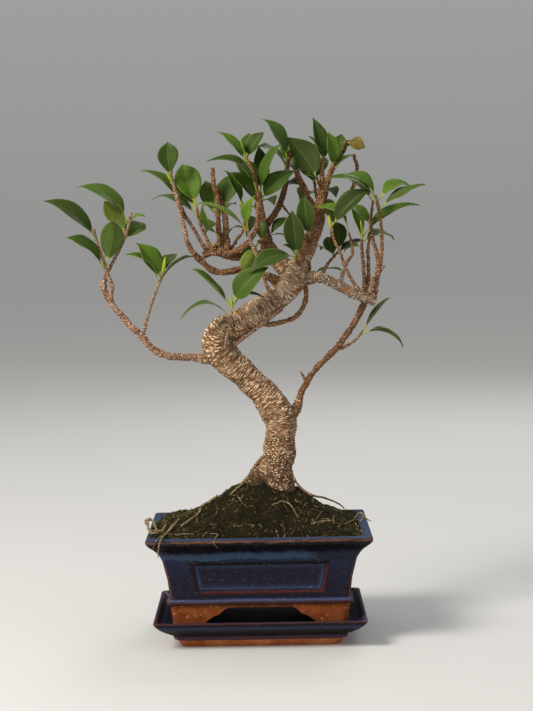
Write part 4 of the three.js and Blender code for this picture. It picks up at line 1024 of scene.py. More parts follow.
      [[52, 5, 329], [39, 30, 331], 15, [0, -0.3, 0.9], 0.15],
    ],
  },
  "right_low": {
    "stems": [
      [[86, 11, 265, 1.2], [91, 9, 269, 1.2], [96, 8, 275, 1.1], [97, 8, 278, 0.9]],
    ],
    "leaves": [
      [[97, 8, 277], [121, -2, 308], 16, [-0.8, -0.2, 0.6], 0],
      [[96, 8, 274], [134, 0, 263], 14, [0, -0.1, 1], 0.2],
    ],
  },
  "rear_left": {
    "stems": [
      [[10, 13, 368, 2], [7, 24, 377, 1.6], [3, 34, 387, 1.4], [2, 41, 398, 1.2],
       [1, 45, 407, 1]],
    ],
    "leaves": [
      [[2, 42, 399], [-15, 62, 417], 20, [0.3, -0.5, 0.8], 0.12],
      [[1, 45, 405], [15, 58, 428], 20, [-0.3, -0.6, 0.7], 0.1],
      [[1, 45, 405], [-5, 36, 435], 18, [0.2, -0.8, 0.5], 0.1],
      [[3, 34, 388], [-10, 66, 387], 20, [0.1, -0.2, 0.9], 0.15],
      [[3, 37, 392], [19, 66, 394], 20, [-0.1, -0.1, 1], 0.15],
      [[6, 27, 379], [-8, 56, 365], 18, [0.1, 0.2, 0.9], 0.2],
    ],
  },
  "rear_right": {
    "stems": [
      [[58, 8, 384, 2], [59, 20, 392, 1.6], [57, 32, 404, 1.4], [56, 40, 415, 1.1]],
    ],
    "leaves": [
      [[57, 37, 410], [43, 56, 433], 20, [0.2, -0.6, 0.7], 0.1],
      [[56, 40, 414], [68, 52, 436], 20, [-0.2, -0.6, 0.7], 0.1],
      [[58, 29, 401], [77, 60, 401], 20, [-0.1, -0.1, 1], 0.15],
      [[57, 31, 402], [43, 64, 397], 20, [0.1, 0, 1], 0.15],
      [[58, 25, 397], [74, 50, 376], 18, [0, 0.2, 0.9], 0.2],
    ],
  },
  "rear_mid": {
    "stems": [
      [[-27, 3, 351, 1.8], [-30, 17, 362, 1.5], [-32, 25, 373, 1.3], [-33, 31, 384, 1]],
    ],
    "leaves": [
      [[-33, 30, 381], [-47, 50, 395], 18, [0.3, -0.4, 0.8], 0.12],
      [[-33, 31, 382], [-17, 52, 395], 18, [-0.3, -0.3, 0.9], 0.12],
      [[-32, 26, 374], [-46, 54, 369], 18, [0.1, 0.1, 1], 0.18],
    ],
  },
}
print(len(SHOOTS), "shoots with", sum(len(shoot["leaves"]) for shoot in SHOOTS.values()), "leaves and buds")

# %% The roots on the ground
GROUND_ROOTS = {
  "root_left": [[-37, -3, 0, 1.5], [-44, -5, 0.3, 1.4], [-51, -5, 0.3, 1.3], [-54.5, -22, 0.3, 1.2],
   [-62, -33, 0.3, 1.1], [-69, -45, 0.2, 0.9]],
  "root_right": [[46, -2, 0.4, 1.3], [52, 3, 1.2, 1.2], [58, 8, 3.4, 1.1], [65, 16, 4.4, 1],
   [71, 24, 4.4, 0.9], [76, 32, 3, 0.8], [80, 38, 0.3, 0.7]],
}
CORNER_ROOT = [[-72.7, -17, 110, 1.3], [-76.3, -35.5, 108, 1.4], [-79.1, -51, 106.3, 1.4],
 [-82.2, -59.5, 104.4, 1.3], [-84.5, -69, 103.7, 1.2], [-86, -76.5, 102.6, 1.1],
 [-87.6, -77.2, 96.5, 0.9], [-88.3, -76.8, 91, 0.8], [-88.8, -76.2, 86.1, 0.7]]
print(len(GROUND_ROOTS) + 1, "roots lie on the ground")

# %% [markdown]
# ## Growing wood
# Tapered stems that bend and fork are best drawn as curves: a point is added at each station, and its
# radius is set. Meshed and joined, they still show a hard line where one enters another. A voxel
# remesh melts them into one skin, and a little smoothing rounds the crotches as a tree does.


# %% Draw a stem, and melt stems together
def draw_stem(path, sides=3):
    """A closed tube through the stations of a path."""
    stem = start(bpy.ops.curve.primitive_bezier_curve_add)
    bpy.ops.curve.select_all(action="SELECT")
    bpy.ops.curve.delete(type="VERT")
    for x, y, z, radius in path:
        bpy.ops.curve.vertex_add(location=(x * MM, y * MM, z * MM))
        bpy.ops.curve.radius_set(radius=radius)
    bpy.ops.curve.select_all(action="SELECT")
    bpy.ops.curve.handle_type_set(type="AUTOMATIC")
    bpy.ops.object.mode_set(mode="OBJECT")
    stem.data.bevel_depth = MM
    stem.data.bevel_resolution = sides
    stem.data.resolution_u = 8
    stem.data.use_fill_caps = True
    bpy.ops.object.convert(target="MESH")
    return bpy.context.object


def joined(pieces):
    """Join several pieces into the first."""
    take(pieces[0])
    for piece in pieces:
        piece.select_set(True)
    if len(pieces) > 1:
        bpy.ops.object.join()
    return bpy.context.object


def melt(pieces, voxel, rounds):
    """Join stems and remesh them into one smooth skin."""
    wood = joined(pieces)
    give(wood, "REMESH", mode="VOXEL", voxel_size=voxel * MM, use_smooth_shade=True)
    give(wood, "SMOOTH", factor=0.5, iterations=rounds)
    return wood


print("stems are drawn with", 4 + 2 * 3, "sides")

# %% [markdown]
# ### Bark
# Bark belongs to the stem and not to space: its pale corky dashes run round the stem. So each point
# of the skin is told where it would be if its stem were pulled straight: how far to the two sides of
# the stem's middle line, and how far along. Bumps and colours are then made in that straight place.


# %% Pull stems straight
BATCH = 8000  # points handled at a time, to spare memory
STEM_SHIFT = 317.0  # millimetres between the straight places of two stems, so that their bark differs


def middle_line(path, step=0.8):
    """Close samples along a path: places, radii, distance run, and the frame's two sides."""
    knots = np.array(path, float)
    knots = np.vstack([2 * knots[0] - knots[1], knots, 2 * knots[-1] - knots[-2]])
    rows = []
    for a, b, c, d in zip(knots, knots[1:], knots[2:], knots[3:]):
        count = max(2, int(np.linalg.norm((c - b)[:3]) / step))
        t = np.arange(count)[:, None] / count
        rows.append(0.5 * (2 * b + (c - a) * t + (2 * a - 5 * b + 4 * c - d) * t**2
                           + (3 * b - a - 3 * c + d) * t**3))
    line = np.vstack(rows + [knots[-2:-1]])
    places, radii = line[:, :3], line[:, 3]
    ways = np.gradient(places, axis=0)
    ways /= np.linalg.norm(ways, axis=1)[:, None]
    run = np.concatenate([[0], np.cumsum(np.linalg.norm(np.diff(places, axis=0), axis=1))])
    side = np.cross(ways[0], [0.3, 0.9, 0.2])
    sides = []
    for way in ways:
        side = side - way * side.dot(way)
        side = side / np.linalg.norm(side)
        sides.append(side)
    sides = np.array(sides)
    return places, radii, run, ways, sides, np.cross(ways, sides)


def points_of(piece, what="co"):
    """All points of a piece, or their normals, as rows."""
    values = np.empty(len(piece.data.vertices) * 3)
    piece.data.vertices.foreach_get(what, values)
    return values.reshape(-1, 3)


def set_points(piece, places):
    piece.data.vertices.foreach_set("co", places.ravel())
    piece.data.update()


def pulled_straight(piece, paths):
    """For each point of a skin: its straight place, the stem's radius there, and the run left to the end."""
    spots = points_of(piece) / MM
    best = np.full(len(spots), np.inf)
    straight, radius, left = np.zeros_like(spots), np.zeros(len(spots)), np.zeros(len(spots))
    for number, path in enumerate(paths):
        places, radii, run, ways, sides, others = middle_line(path)
        for first in range(0, len(spots), BATCH):
            part = slice(first, first + BATCH)
            gap = ((spots[part, None, :] - places[None]) ** 2).sum(2) - radii**2
            nearest = gap.argmin(1)
            found = gap[np.arange(len(nearest)), nearest]
            closer = found < best[part]
            index = np.arange(len(spots))[part][closer]
            near = nearest[closer]
            off = spots[index] - places[near]
            beyond = (off * ways[near]).sum(1)
            straight[index, 0] = (off * sides[near]).sum(1)
            straight[index, 1] = (off * others[near]).sum(1)
            straight[index, 2] = run[near] + beyond + STEM_SHIFT * number
            radius[index] = radii[near]
            left[index] = run[-1] - run[near] - beyond
            best[index] = found[closer]
    return straight, radius, left


def keep(piece, name, values):
    """Store numbers or vectors at the points of a piece."""
    kind, field = ("FLOAT_VECTOR", "vector") if values.ndim == 2 else ("FLOAT", "value")
    piece.data.attributes.new(name, kind, "POINT").data.foreach_set(field, values.astype(np.float32).ravel())


print("a branch has", len(middle_line(WOOD["branch_left_long"][0])[0]), "samples")


# %% Grow bark on a skin
def ease(values, low, high):
    """0 at low, 1 at high, smooth between."""
    t = np.clip((values - low) / (high - low), 0, 1)
    return t * t * (3 - 2 * t)


def rough(spots, sizes, seed):
    """Noise at some places, with lumps of one size, or of one size for each direction."""
    return np.array([noise.noise(p) for p in (spots / sizes + seed).tolist()])


def grow_bark(piece, paths, lumps, cork, rings=0.0, seed=0.0):
    """Push a skin out into lumps, corky dashes and leaf-scar rings. Lumps are (size, height) pairs;
    cork is the dashes' (size round the stem, size along it, height)."""
    straight, radius, left = pulled_straight(piece, paths)
    round_size, along_size, cork_height = cork
    out = np.zeros(len(straight))
    for number, (size, height) in enumerate(lumps):
        slim = np.minimum(height, 0.2 * radius)
        out += slim * 1.6 * rough(straight, np.array([size, size, size * 1.2]), seed + 7.3 * number)
    cell = straight / np.array([round_size, round_size, along_size]) + seed
    cell[:, 2] += 0.35 * rough(straight, 5.0, seed + 3)
    dash = np.array([noise.voronoi(p)[0][0] for p in cell.tolist()])
    dash += 0.22 * rough(straight, np.array([7.0, 7.0, 9.0]), seed + 11)
    out += np.minimum(cork_height, 0.22 * radius) * (1 - ease(dash, 0.25, 0.55))
    if rings:
        turn = straight[:, 2] / 5.2 + 0.5 * rough(straight * [0, 0, 1], 9.0, seed + 5)
        out += rings * np.minimum(1, radius / 2) * np.exp(-(((turn % 1) - 0.5) / 0.13) ** 2)
    set_points(piece, points_of(piece) + points_of(piece, "normal") * (out * MM)[:, None])
    keep(piece, "straight", straight * MM)
    keep(piece, "dash", dash)
    keep(piece, "left", left * MM)


def grown(paths, voxel, rounds, *bark_sizes, **more):
    """Draw the stems of some paths, melt them, and grow bark on them."""
    piece = melt([draw_stem(path) for path in paths], voxel, rounds)
    grow_bark(piece, paths, *bark_sizes, **more)
    return piece


print("bark is grown in three steps: lumps, dashes, rings")

# %% Mix the barks
def bark(name, shades, dashes, cut_colour, fleck, cover, strength=0.6, zones=False, stubs=None):
    """Bark in three shades with pale corky flecks, and fresh wood where a stem was cut. A fleck has a
    length round the stem and one along it, in metres, and cover says how much of the bark they take.
    With zones, the foot of the stem has rounder flecks and its far part is greyer. Stubs are two
    colours for the part that is stored as stub."""
    mix = Palette(name, Roughness=0.85, Specular_IOR_Level=0.1)
    straight = mix.stored("straight", "Vector")
    warp = mix.stretch(mix.grain(straight, 260.0, 2.0, 0.5, "Color"), 0.0012, 0.0012, 0.001)
    bent = mix.add("VectorMath", 0, {0: straight, 1: warp}, operation="ADD")

    def flecks_of(across, along):
        """Flecks of one size: how far from a fleck's middle, its own value, and how far from its edge."""
        spread = mix.stretch(bent, 1 / across, 1 / across, 1 / along)
        to_edge = mix.cells(spread, feature="DISTANCE_TO_EDGE")
        return mix.cells(spread), mix.cells(spread, out="Color"), to_edge

    broad = mix.grain(mix.stretch(straight, 1, 1, 0.7), 90, 4, 0.6)
    fine = mix.grain(mix.stretch(straight, 0.5, 0.5, 2.4), 640, 5, 0.75)
    colour = mix.ramp(broad, list(zip((0.34, 0.5, 0.66), shades)))
    middle, own, edge = flecks_of(*fleck)
    coarse = cracks = strength
    if zones:
        run = mix.plus(mix.axes(straight)[2], mix.sway(broad, 0.04))
        upper, foot = mix.fade(run, 0.055, 0.08), mix.fade(run, 0.044, 0.022)
        far = mix.times(mix.fade(run, 0.185, 0.2), mix.fade(run, 0.3, 0.27))
        pairs = zip(flecks_of(0.0027, 0.002), (middle, own, edge))
        middle, own, edge = (mix.choose(upper, below, above) for below, above in pairs)
        colour = mix.over(colour, far, mix.ramp(broad, [(0.36, "8c7462"), (0.6, "c4aa90")]), 0.7)
        colour = mix.over(colour, mix.fade(mix.grain(straight, 60, 3), 0.52, 0.66), "6e6c3e", 0.45)
        colour = mix.over(colour, foot, "3a2812", 0.75)
        coarse = mix.times(mix.rest(far, 0.6), strength)
        cracks = mix.times(coarse, mix.rest(upper, 0.3))
    scales = mix.ramp(own, list(zip((0.25, 0.5, 0.8), (shades[0], shades[2], dashes[0]))))
    scaly = mix.times(mix.fade(mix.grain(straight, 150, 3), 0.35, 0.6), coarse)
    colour = mix.over(colour, scaly, scales, 0.6)
    colour = mix.over(colour, mix.fade(fine, 0.5, 0.34), mix.blend(0.6, colour, "24160d"), 0.8)
    colour = mix.over(colour, mix.fade(edge, 0.13, 0.03), "3a2214", cracks)
    if stubs:
        colour = mix.over(colour, mix.stored("stub"), mix.ramp(fine, list(zip((0.35, 0.65), stubs))), 0.8)
    middle = mix.fade(mix.plus(middle, mix.sway(fine, 0.55)), cover + 0.02, cover - 0.04)
    light = mix.maths("MAXIMUM", mix.times(mix.fade(mix.stored("dash"), 0.4, 0.22), 0.5), middle)
    if zones:
        light = mix.times(light, mix.rest(foot, 0.4))
    tone = mix.ramp(mix.grain(straight, 330, 3), list(zip((0.35, 0.62), dashes)))
    colour = mix.over(colour, light, tone, strength)
    if zones:
        # Moss brown patches near the inner root: moss, and painted shade in the recess there.
        patchy = mix.fade(mix.grain(straight, 300, 4), 0.3, 0.5)
        colour = mix.over(colour, mix.times(mix.stored("moss_and_shade"), patchy), "30240f", 0.8)
    rust = mix.times(mix.stored("rust"), mix.fade(mix.grain(straight, 420, 3), 0.3, 0.46))
    colour = mix.over(colour, rust, mix.ramp(fine, [(0.3, "70340f"), (0.7, "c87a38")]), 0.9)
    colour = mix.over(colour, mix.fade(mix.stored("left"), 0.0006, 0.0001), cut_colour, 0.7)
    height = mix.plus(light, fine, mix.fade(edge, 0.03, 0.2))
    return mix.paint(colour, mix.remap(fine, 0.75, 0.95), height, 0.001)


trunk_bark = bark("trunk_bark", ("866042", "aa805a", "c8a078"), ("e6bc92", "ffeed0"), "c9ae80",
                  (0.0072, 0.0013), 0.35, 0.9, zones=True)
# The pale bark is partly painted light, for stems on the lit left and front, and partly the real pale colour
# of the fused root. The dark bark is partly painted shade, for stems that lie in shadow.
pale_and_lit_bark = bark("pale_and_lit_bark", ("966a52", "ba9072", "d6ac8c"), ("deb496", "fae0c6"), "cbb088",
                 (0.0031, 0.0012), 0.36)
twig_bark = bark("twig_bark", ("785036", "a4754e", "c4946c"), ("c89a74", "eecaa4"), "c2a170",
                 (0.0026, 0.0011), 0.33)
dark_and_shaded_bark = bark("dark_and_shaded_bark", ("62432c", "8c613f", "a87e56"), ("b08660", "dcb488"), "a88a62",
                 (0.0024, 0.0011), 0.32)
grey_bark = bark("grey_bark", ("76604e", "9a8470", "baa28c"), ("ccb498", "f0dfc6"), "cbb088",
                 (0.0034, 0.0013), 0.33, stubs=("6c4428", "a87448"))
root_bark = bark("root_bark", ("866848", "ae9068", "c8ac84"), ("d0b48a", "f0e0bc"), "d8c4a0",
                 (0.002, 0.001), 0.36)
print("barks:", trunk_bark.name, twig_bark.name, root_bark.name)

# %% [markdown]
# ### The trunk
# The trunk leans, folds back at its knee and climbs to the right. Each limb grows out of it through a
# collar, so the trunk's skin is melted together with the first stretch of every limb and with its
# own roots. A thin root has fused to the underside of the upper trunk, and the marks of old training
# wire cross it as rusty grooves. Both are placed by points of the picture, on the trunk's own skin.

# %% Melt and weather the trunk
COLLARS = {  # how many stations of a limb's first stem the trunk's skin takes in
    "limb_upper_left": 3, "limb_upper_right": 3, "limb_right": 3, "branch_right_low": 3,
    "branch_left_long": 3, "branch_left_arc": 2, "branch_left_mid": 2,
}
FUSED_ROOT = [(281, 307), (272, 314), (262, 322), (253, 330), (245, 336), (238, 341), (232, 345)]
WIRE_MARKS = [
    [(252, 300), (259, 306), (266, 315), (268, 318)], [(237, 311), (243, 319), (249, 326), (252, 329)],
    [(232, 331), (241, 331), (249, 328)], [(292, 291), (298, 289), (303, 288)],
]


def on_skin(skin, px, py, lift=0.0):
    """The place in millimetres where a ray through the picture meets a skin, lifted off it."""
    place, normal, _, _ = skin.ray_cast(CAMERA_PLACE, ray(px, py))
    return None if place is None else (place + normal * lift * MM) / MM


def skin_of(*pieces):
    """A tree of faces that rays can be cast at."""
    places, faces = [], []
    for piece in pieces:
        first = len(places)
        places += [v.co.copy() for v in piece.data.vertices]
        faces += [[first + k for k in p.vertices] for p in piece.data.polygons]
    return BVHTree.FromPolygons(places, faces)


def weather(piece, marks, inner, outer, groove=0.1):
    """Store rust along lines on a skin, full within the inner distance. Sink the skin there and raise
    its brim."""
    nearest, spots = np.full(len(piece.data.vertices), 99.0), points_of(piece) / MM
    for mark in marks:
        mark = [np.array(spot) for spot in mark if spot]
        for a, b in zip(mark, mark[1:]):
            t = np.clip((spots - a) @ (b - a) / max((b - a) @ (b - a), 1e-6), 0, 1)
            nearest = np.minimum(nearest, np.linalg.norm(spots - a - t[:, None] * (b - a), axis=1))
    rust = 1 - ease(nearest, inner, outer)
    keep(piece, "rust", rust)
    brim = np.exp(-(((nearest - outer) / 0.8) ** 2))
    set_points(piece, (spots + points_of(piece, "normal") * (groove * (brim - rust))[:, None]) * MM)


collars = [WOOD[name][0][:count] for name, count in COLLARS.items()]
left_root, right_root = ([[x, y, z, radius * 0.72] for x, y, z, radius in TRUNK_ROOTS[k]] for k in (0, 2))
flare = [[x, y, z, radius + 2] for x, y, z, radius in TRUNK_ROOTS[1]]
trunk_paths = [TRUNK_PATH, flare, right_root, *collars]
bare_trunk = melt([draw_stem(TRUNK_PATH, 8)], 1.5, 2)
bare_skin = skin_of(bare_trunk)
fused = [on_skin(bare_skin, px, py, 1.7) for px, py in FUSED_ROOT]
fused = [[*spot, 2.2 - 0.1 * k] for k, spot in enumerate(s for s in fused if s)]
throw_away(bare_trunk)
trunk = melt([draw_stem(path, 8 if path is TRUNK_PATH else 4) for path in trunk_paths], 0.72, 5)
print("trunk", len(trunk.data.vertices), "points, fused root", len(fused), "stations")

# %% Bark, wire marks and rust on the trunk
ROOT_LUMPS = [(4, 0.3), (1.6, 0.2)]
# Near the foot of the inner root the trunk turns moss brown: moss, and painted shade in the recess between
# the trunk and that root.
MOSS_SHADE_FOOT, MOSS_SHADE_REACH = (-5, -12, 141), (13, 9, 15)
smooth_skin = skin_of(trunk)
marks = [[on_skin(smooth_skin, *spot) for spot in mark] for mark in WIRE_MARKS]
grow_bark(trunk, trunk_paths, [(15, 1.2), (6, 0.6), (2.6, 0.3)], (5.6, 1.5, 0.45), seed=2.0)
weather(trunk, marks, 0.9, 2.0, 0.7)
from_root = np.linalg.norm((points_of(trunk) / MM - MOSS_SHADE_FOOT) / MOSS_SHADE_REACH, axis=1)
keep(trunk, "moss_and_shade", 1 - ease(from_root, 0.6, 1.1))
hand_in(trunk, "trunk", ["trunk"], trunk_bark)
pale_root = grown([left_root], 0.4, 1, ROOT_LUMPS, (2.4, 1.6, 0.12), seed=6.0)
hand_in(pale_root, "trunk_root", ["trunk"], root_bark)
strand = grown([fused], 0.4, 1, ROOT_LUMPS, (2.4, 1.3, 0.3), seed=8.0)
hand_in(strand, "trunk_strand", ["trunk"], pale_and_lit_bark)

# %% [markdown]
# ### Limbs and branches
# Each limb is melted from its own stems, finer than the trunk because it is thinner. Its first
# stations lie inside the trunk's collar, so the two skins meet without a gap.

# %% Grow the limbs
RUST_SPOTS = {"limb_right": [(344, 288), (350, 291)], "branch_left_long": [(156, 348), (159, 350)]}
# The long left branch gets the pale bark, partly painted light, and the arching branch the dark bark, partly
# painted shade.
LIMB_FINISHES = {"branch_left_long": pale_and_lit_bark, "branch_left_arc": dark_and_shaded_bark, "limb_right": grey_bark}
LIMB_LUMPS = [(7, 0.6), (2.6, 0.4), (1.3, 0.18)]
for name, paths in WOOD.items():
    thick = max(station[3] for station in paths[0][2:])
    voxel = 0.5 if thick > 4 else 0.4
    limb = grown(paths, voxel, 3, LIMB_LUMPS, (2.6, 1.3, 0.42), rings=0.34, seed=len(name) * 1.7)
    if name in RUST_SPOTS:
        limb_skin = skin_of(limb)
        weather(limb, [[on_skin(limb_skin, *spot) for spot in RUST_SPOTS[name]]], 1.2, 2.6)
    if name == "limb_right":
        x, _, z = (points_of(limb) / MM).T
        keep(limb, "stub", ease(x, 84, 92) * ease(z + 0.45 * (x - 98), 311, 315))
    hand_in(limb, name, [name], LIMB_FINISHES.get(name, twig_bark))

# %% [markdown]
# ## Leaves
# One leaf is modelled by hand, flat and one unit long: a grid whose rows are moved and narrowed to the
# outline of a fig leaf, with its stalk, and thickened. Every leaf of the tree is a copy of it. The copy
# is bent to its own place, length, width, fold and arch, because no two leaves of a tree sit alike.

# %% Model the leaf blank
LEAF_ROWS = [  # part of the length, part of the greatest half width
    (0, 0.06), (0.05, 0.05), (0.1, 0.05), (0.14, 0.06), (0.165, 0.16), (0.2, 0.34), (0.25, 0.56),
    (0.31, 0.75), (0.38, 0.89), (0.46, 0.975), (0.54, 1), (0.62, 0.97), (0.7, 0.88), (0.77, 0.74),
    (0.83, 0.58), (0.88, 0.41), (0.92, 0.27), (0.96, 0.14), (1, 0.03),
]
ACROSS, ALONG = 8, len(LEAF_ROWS) - 1
ASIDE = 3  # moved rows wait this far off, so that they aren't picked again
leaf_blank = start(bpy.ops.mesh.primitive_grid_add, x_subdivisions=ACROSS, y_subdivisions=ALONG, size=2)
for number, (along, half) in list(enumerate(LEAF_ROWS))[::-1]:
    y = -1 + number * 2 / ALONG
    pick("VERT", lambda v: abs(v.co.y - y) < 1e-4)
    resize(half, 1, 1)
    move(0, along + ASIDE - y, 0)
bpy.ops.mesh.select_all(action="SELECT")
move(0, -ASIDE, 0)
give(leaf_blank, "SOLIDIFY", thickness=0.02, offset=0)
blank = points_of(leaf_blank)
t = blank[:, 1]
u = blank[:, 0] / np.interp(t, *zip(*LEAF_ROWS))
face_side = np.sign(blank[:, 2])
print("leaf blank:", len(leaf_blank.data.polygons), "faces")

# %% Bend a copy of the leaf into place
LEAF_TONES = [  # which leaves, counted in the order of the list, and how pale they are
    ({58}, (1.5, 1.5)),  # withered
    ({26, 98}, (0.9, 1.0)),  # bright: painted light on leaves that catch it
    ({3, 5, 7, 8, 15, 25, 37, 38, 40, 41, 55, 67, 68, 70, 73, 75, 88, 90}, (0.75, 0.9)),  # young leaves, and lit leaves made paler as painted light
    ({0, 35, 48, 50, 52, 53, 54, 60, 64, 65, 79, 80, 81, 82, 93, 94, 95, 96}, (0.08, 0.32)),  # dark leaves, with painted shade on those in shadow
]
USUAL_TONE = (0.3, 0.72)
BLUNT_LEAVES = {12}
BUD_WIDTH = 5


def bend_leaf(index, base, tip, width, facing, arch):
    """One leaf as its own object, from the blank, bent to its place in the list."""
    chance = np.random.default_rng(index + 40)
    take(leaf_blank)
    bpy.ops.object.duplicate()
    leaf = bpy.context.object
    base, tip, facing = (np.array(v, float) for v in (base, tip, facing))
    length = np.linalg.norm(tip - base)
    along = (tip - base) / length
    up_way = facing - along * facing.dot(along)
    up_way /= np.linalg.norm(up_way)
    across = np.cross(along, up_way)
    bud = width <= BUD_WIDTH
    if bud:
        half = width * 0.38 * np.sin(np.pi * np.clip(t * 0.93 + 0.07, 0, 1)) ** 0.8
        thick = half * np.sqrt(np.clip(1 - u**2, 0.02, 1))
        x, lift = half * u, np.zeros_like(t)
    else:
        shift = 0.75 if index in BLUNT_LEAVES else chance.uniform(-0.3, 0.35)
        half = np.interp(t - shift * np.clip(t - 0.165, 0, 1) * (1 - t), *zip(*LEAF_ROWS)) * width / 2
        half = np.maximum(half, np.where(t < 0.2, 0.7, 0.05))
        stalk = 1 - ease(t, 0.13, 0.2)
        x = half * u
        fold = chance.uniform(0.24, 0.58)
        cup = chance.uniform(0.0, 0.25)
        lift = (1 - stalk) * (fold * np.abs(x) - cup * x**2 / (width / 2) * 0.6)
        wave = chance.uniform(0.25, 0.8)
        wave = wave * np.sin(t * chance.uniform(9, 14) + chance.uniform(0, 6) + 1.2 * np.sign(u))
        lift += wave * u**2 * (1 - stalk) * ease(t, 0.2, 0.4)
        droop = chance.uniform(0.02, 0.07) * (1 if arch >= 0 else -1)
        lift -= droop * length * ease(t, 0.8, 1.08) ** 2
        blade = 0.14 + 0.2 * np.exp(-(x / 0.8) ** 2) * (1 - 0.6 * t)
        thick = stalk * 0.7 * np.sqrt(np.clip(1 - u**2, 0.05, 1)) + (1 - stalk) * blade
        x = x * (1 - 0.08 * fold)
    roll = (chance.uniform(-0.25, 0.25) * t)[:, None]
    side_way = across * np.cos(roll) + up_way * np.sin(roll)
    high_way = up_way * np.cos(roll) - across * np.sin(roll)
    sway = chance.uniform(-0.03, 0.03) * length * np.sin(np.pi * t)
    rise = arch * length * 4 * t * (1 - t)
    spots = base + along * (t * length)[:, None] + side_way * x[:, None] + across * sway[:, None]
    spots += high_way * (lift + face_side * thick)[:, None] + up_way * rise[:, None]
    set_points(leaf, spots * MM)
    keep(leaf, "leaf_across", u * (0 if bud else 1))
    keep(leaf, "leaf_along", t * (0.1 if bud else 1))
    keep(leaf, "leaf_under", (face_side < 0).astype(float) * (0 if bud else 1))
    tones = next((tones for leaves, tones in LEAF_TONES if index in leaves), USUAL_TONE)
    keep(leaf, "leaf_tone", np.full(len(t), chance.uniform(*tones)))
    keep(leaf, "leaf_wide", np.full(len(t), width))
    return leaf


print("leaves are bent one by one")

# %% [markdown]
# ### The leaf's finish
# A fig leaf is thick and waxy: dark and glossy above, paler and duller below, with a yellow-green
# stalk that goes on as the midrib, fine side veins and a thin pale margin. The values stored by the
# bending say where a point is on its leaf, so the veins follow every leaf.

# %% Mix the leaf green
TOP_GREENS = [
    (0.0, "283414"), (0.3, "324414"), (0.55, "40581a"), (0.72, "4e6a1c"), (0.86, "6a8224"), (1.0, "a0b25a"),
]
UNDER_GREENS = [(0.0, "2c3a16"), (0.25, "3c4c20"), (0.5, "54642a"), (0.8, "748234"), (1.0, "a0b058")]
mix = Palette("fig_leaf", Specular_IOR_Level=0.14)
place = mix.place()
along_leaf, under, tone, wide = (mix.stored("leaf_" + name) for name in ("along", "under", "tone", "wide"))
across_leaf = mix.maths("ABSOLUTE", mix.stored("leaf_across"))
patch = mix.grain(place, 130, 3)
shade = mix.plus(mix.times(tone, 0.85), mix.sway(patch, 0.3))
vein_run = mix.maths("SUBTRACT", mix.times(along_leaf, 16), mix.times(across_leaf, 2.6))
veins = mix.maths("ABSOLUTE", mix.maths("SINE", mix.times(vein_run, math.pi)))
veins = mix.maths("POWER", veins, 8)
midrib = mix.fade(mix.times(across_leaf, wide), 0.9, 0.3)
green = mix.blend(under, mix.ramp(shade, TOP_GREENS), mix.ramp(shade, UNDER_GREENS))
green = mix.over(green, mix.fade(veins, 0.75, 1.0), "7e8e48", 0.08)
green = mix.over(green, midrib, "7c8c3e", 0.4)
green = mix.over(green, mix.fade(across_leaf, 0.92, 0.99), "84963e", 0.5)
green = mix.over(green, mix.fade(mix.grain(place, 420, 3), 0.62, 0.72), "5e4a1e", 0.3)
green = mix.blend(mix.fade(tone, 1.25, 1.4), green, mix.ramp(patch, [(0.35, "4a3c18"), (0.65, "77682c")]))
stalk_green = mix.ramp(tone, [(0.1, "84902a"), (0.6, "a6b034"), (0.95, "9c9238")])
green = mix.blend(mix.fade(along_leaf, 0.2, 0.15), green, stalk_green)
gloss = mix.choose(under, mix.remap(patch, 0.42, 0.58), 0.65)
rise = mix.plus(mix.times(veins, -0.15), mix.times(midrib, -0.8), mix.grain(place, 500, 2))
leaf_green = mix.paint(green, gloss, rise, 0.0002)
print("leaf green is mixed")

# %% [markdown]
# ### Putting the shoots together
# A shoot is its woody stems and its leaves. The stems start a little inside the branch they grow from.
# They take the finish of twigs and the leaves that of leaves, so a shoot is two pieces that together
# stand for one node of the plain model.


# %% Grow the shoots
def rooted(path, depth=2.5):
    """A path whose first station is moved back along it, into the wood that it grows from."""
    first, second = np.array(path[0], float), np.array(path[1], float)
    way = (first - second)[:3] / np.linalg.norm((first - second)[:3])
    return [[*(first[:3] + way * depth), path[0][3] * 0.9], *path]


# Stems on the lit left and front take the pale bark, and stems in the crown and at the back the dark bark:
# partly painted light and painted shade.
PALE_AND_LIT_STEMS = {
    "far_left_low", "far_left_high", "left_lower", "left_tall", "front_centre", "front_left", "right_under",
    "right_low",
}
DARK_AND_SHADED_STEMS = ("upper", "crown", "rear", "trunk", "centre_low", "centre_right")
leaf_number = 0
for name, shoot in SHOOTS.items():
    paths = [rooted(path) for path in shoot["stems"]]
    lumps, cork = [(3, 0.3), (1.3, 0.16)], (2.2, 1.3, 0.3)
    twig = grown(paths, 0.34, 2, lumps, cork, rings=0.26, seed=leaf_number * 0.9)
    finish = pale_and_lit_bark if name in PALE_AND_LIT_STEMS else dark_and_shaded_bark if name.startswith(DARK_AND_SHADED_STEMS) else twig_bark
    hand_in(twig, "stem_" + name, ["shoot_" + name], finish)
    leaves = []
    for plan in shoot["leaves"]:
        leaves.append(bend_leaf(leaf_number, *plan))
        leaf_number += 1
    foliage = joined(leaves)
    bpy.ops.object.shade_smooth()
    hand_in(foliage, "leaves_" + name, ["shoot_" + name], leaf_green)
throw_away(leaf_blank)
print(leaf_number, "leaves in place")

# %% [markdown]
# ## Moss, soil and roots
# Moss covers the soil and climbs to the trunk. Its bed is a fine grid, pushed up into the mound and
# roughened, with its rim turned down into the pot. A moss reads as moss by its tiny tufts, so one tuft
# of a few thin blades is modelled and set down thousands of times, leaning with the ground.

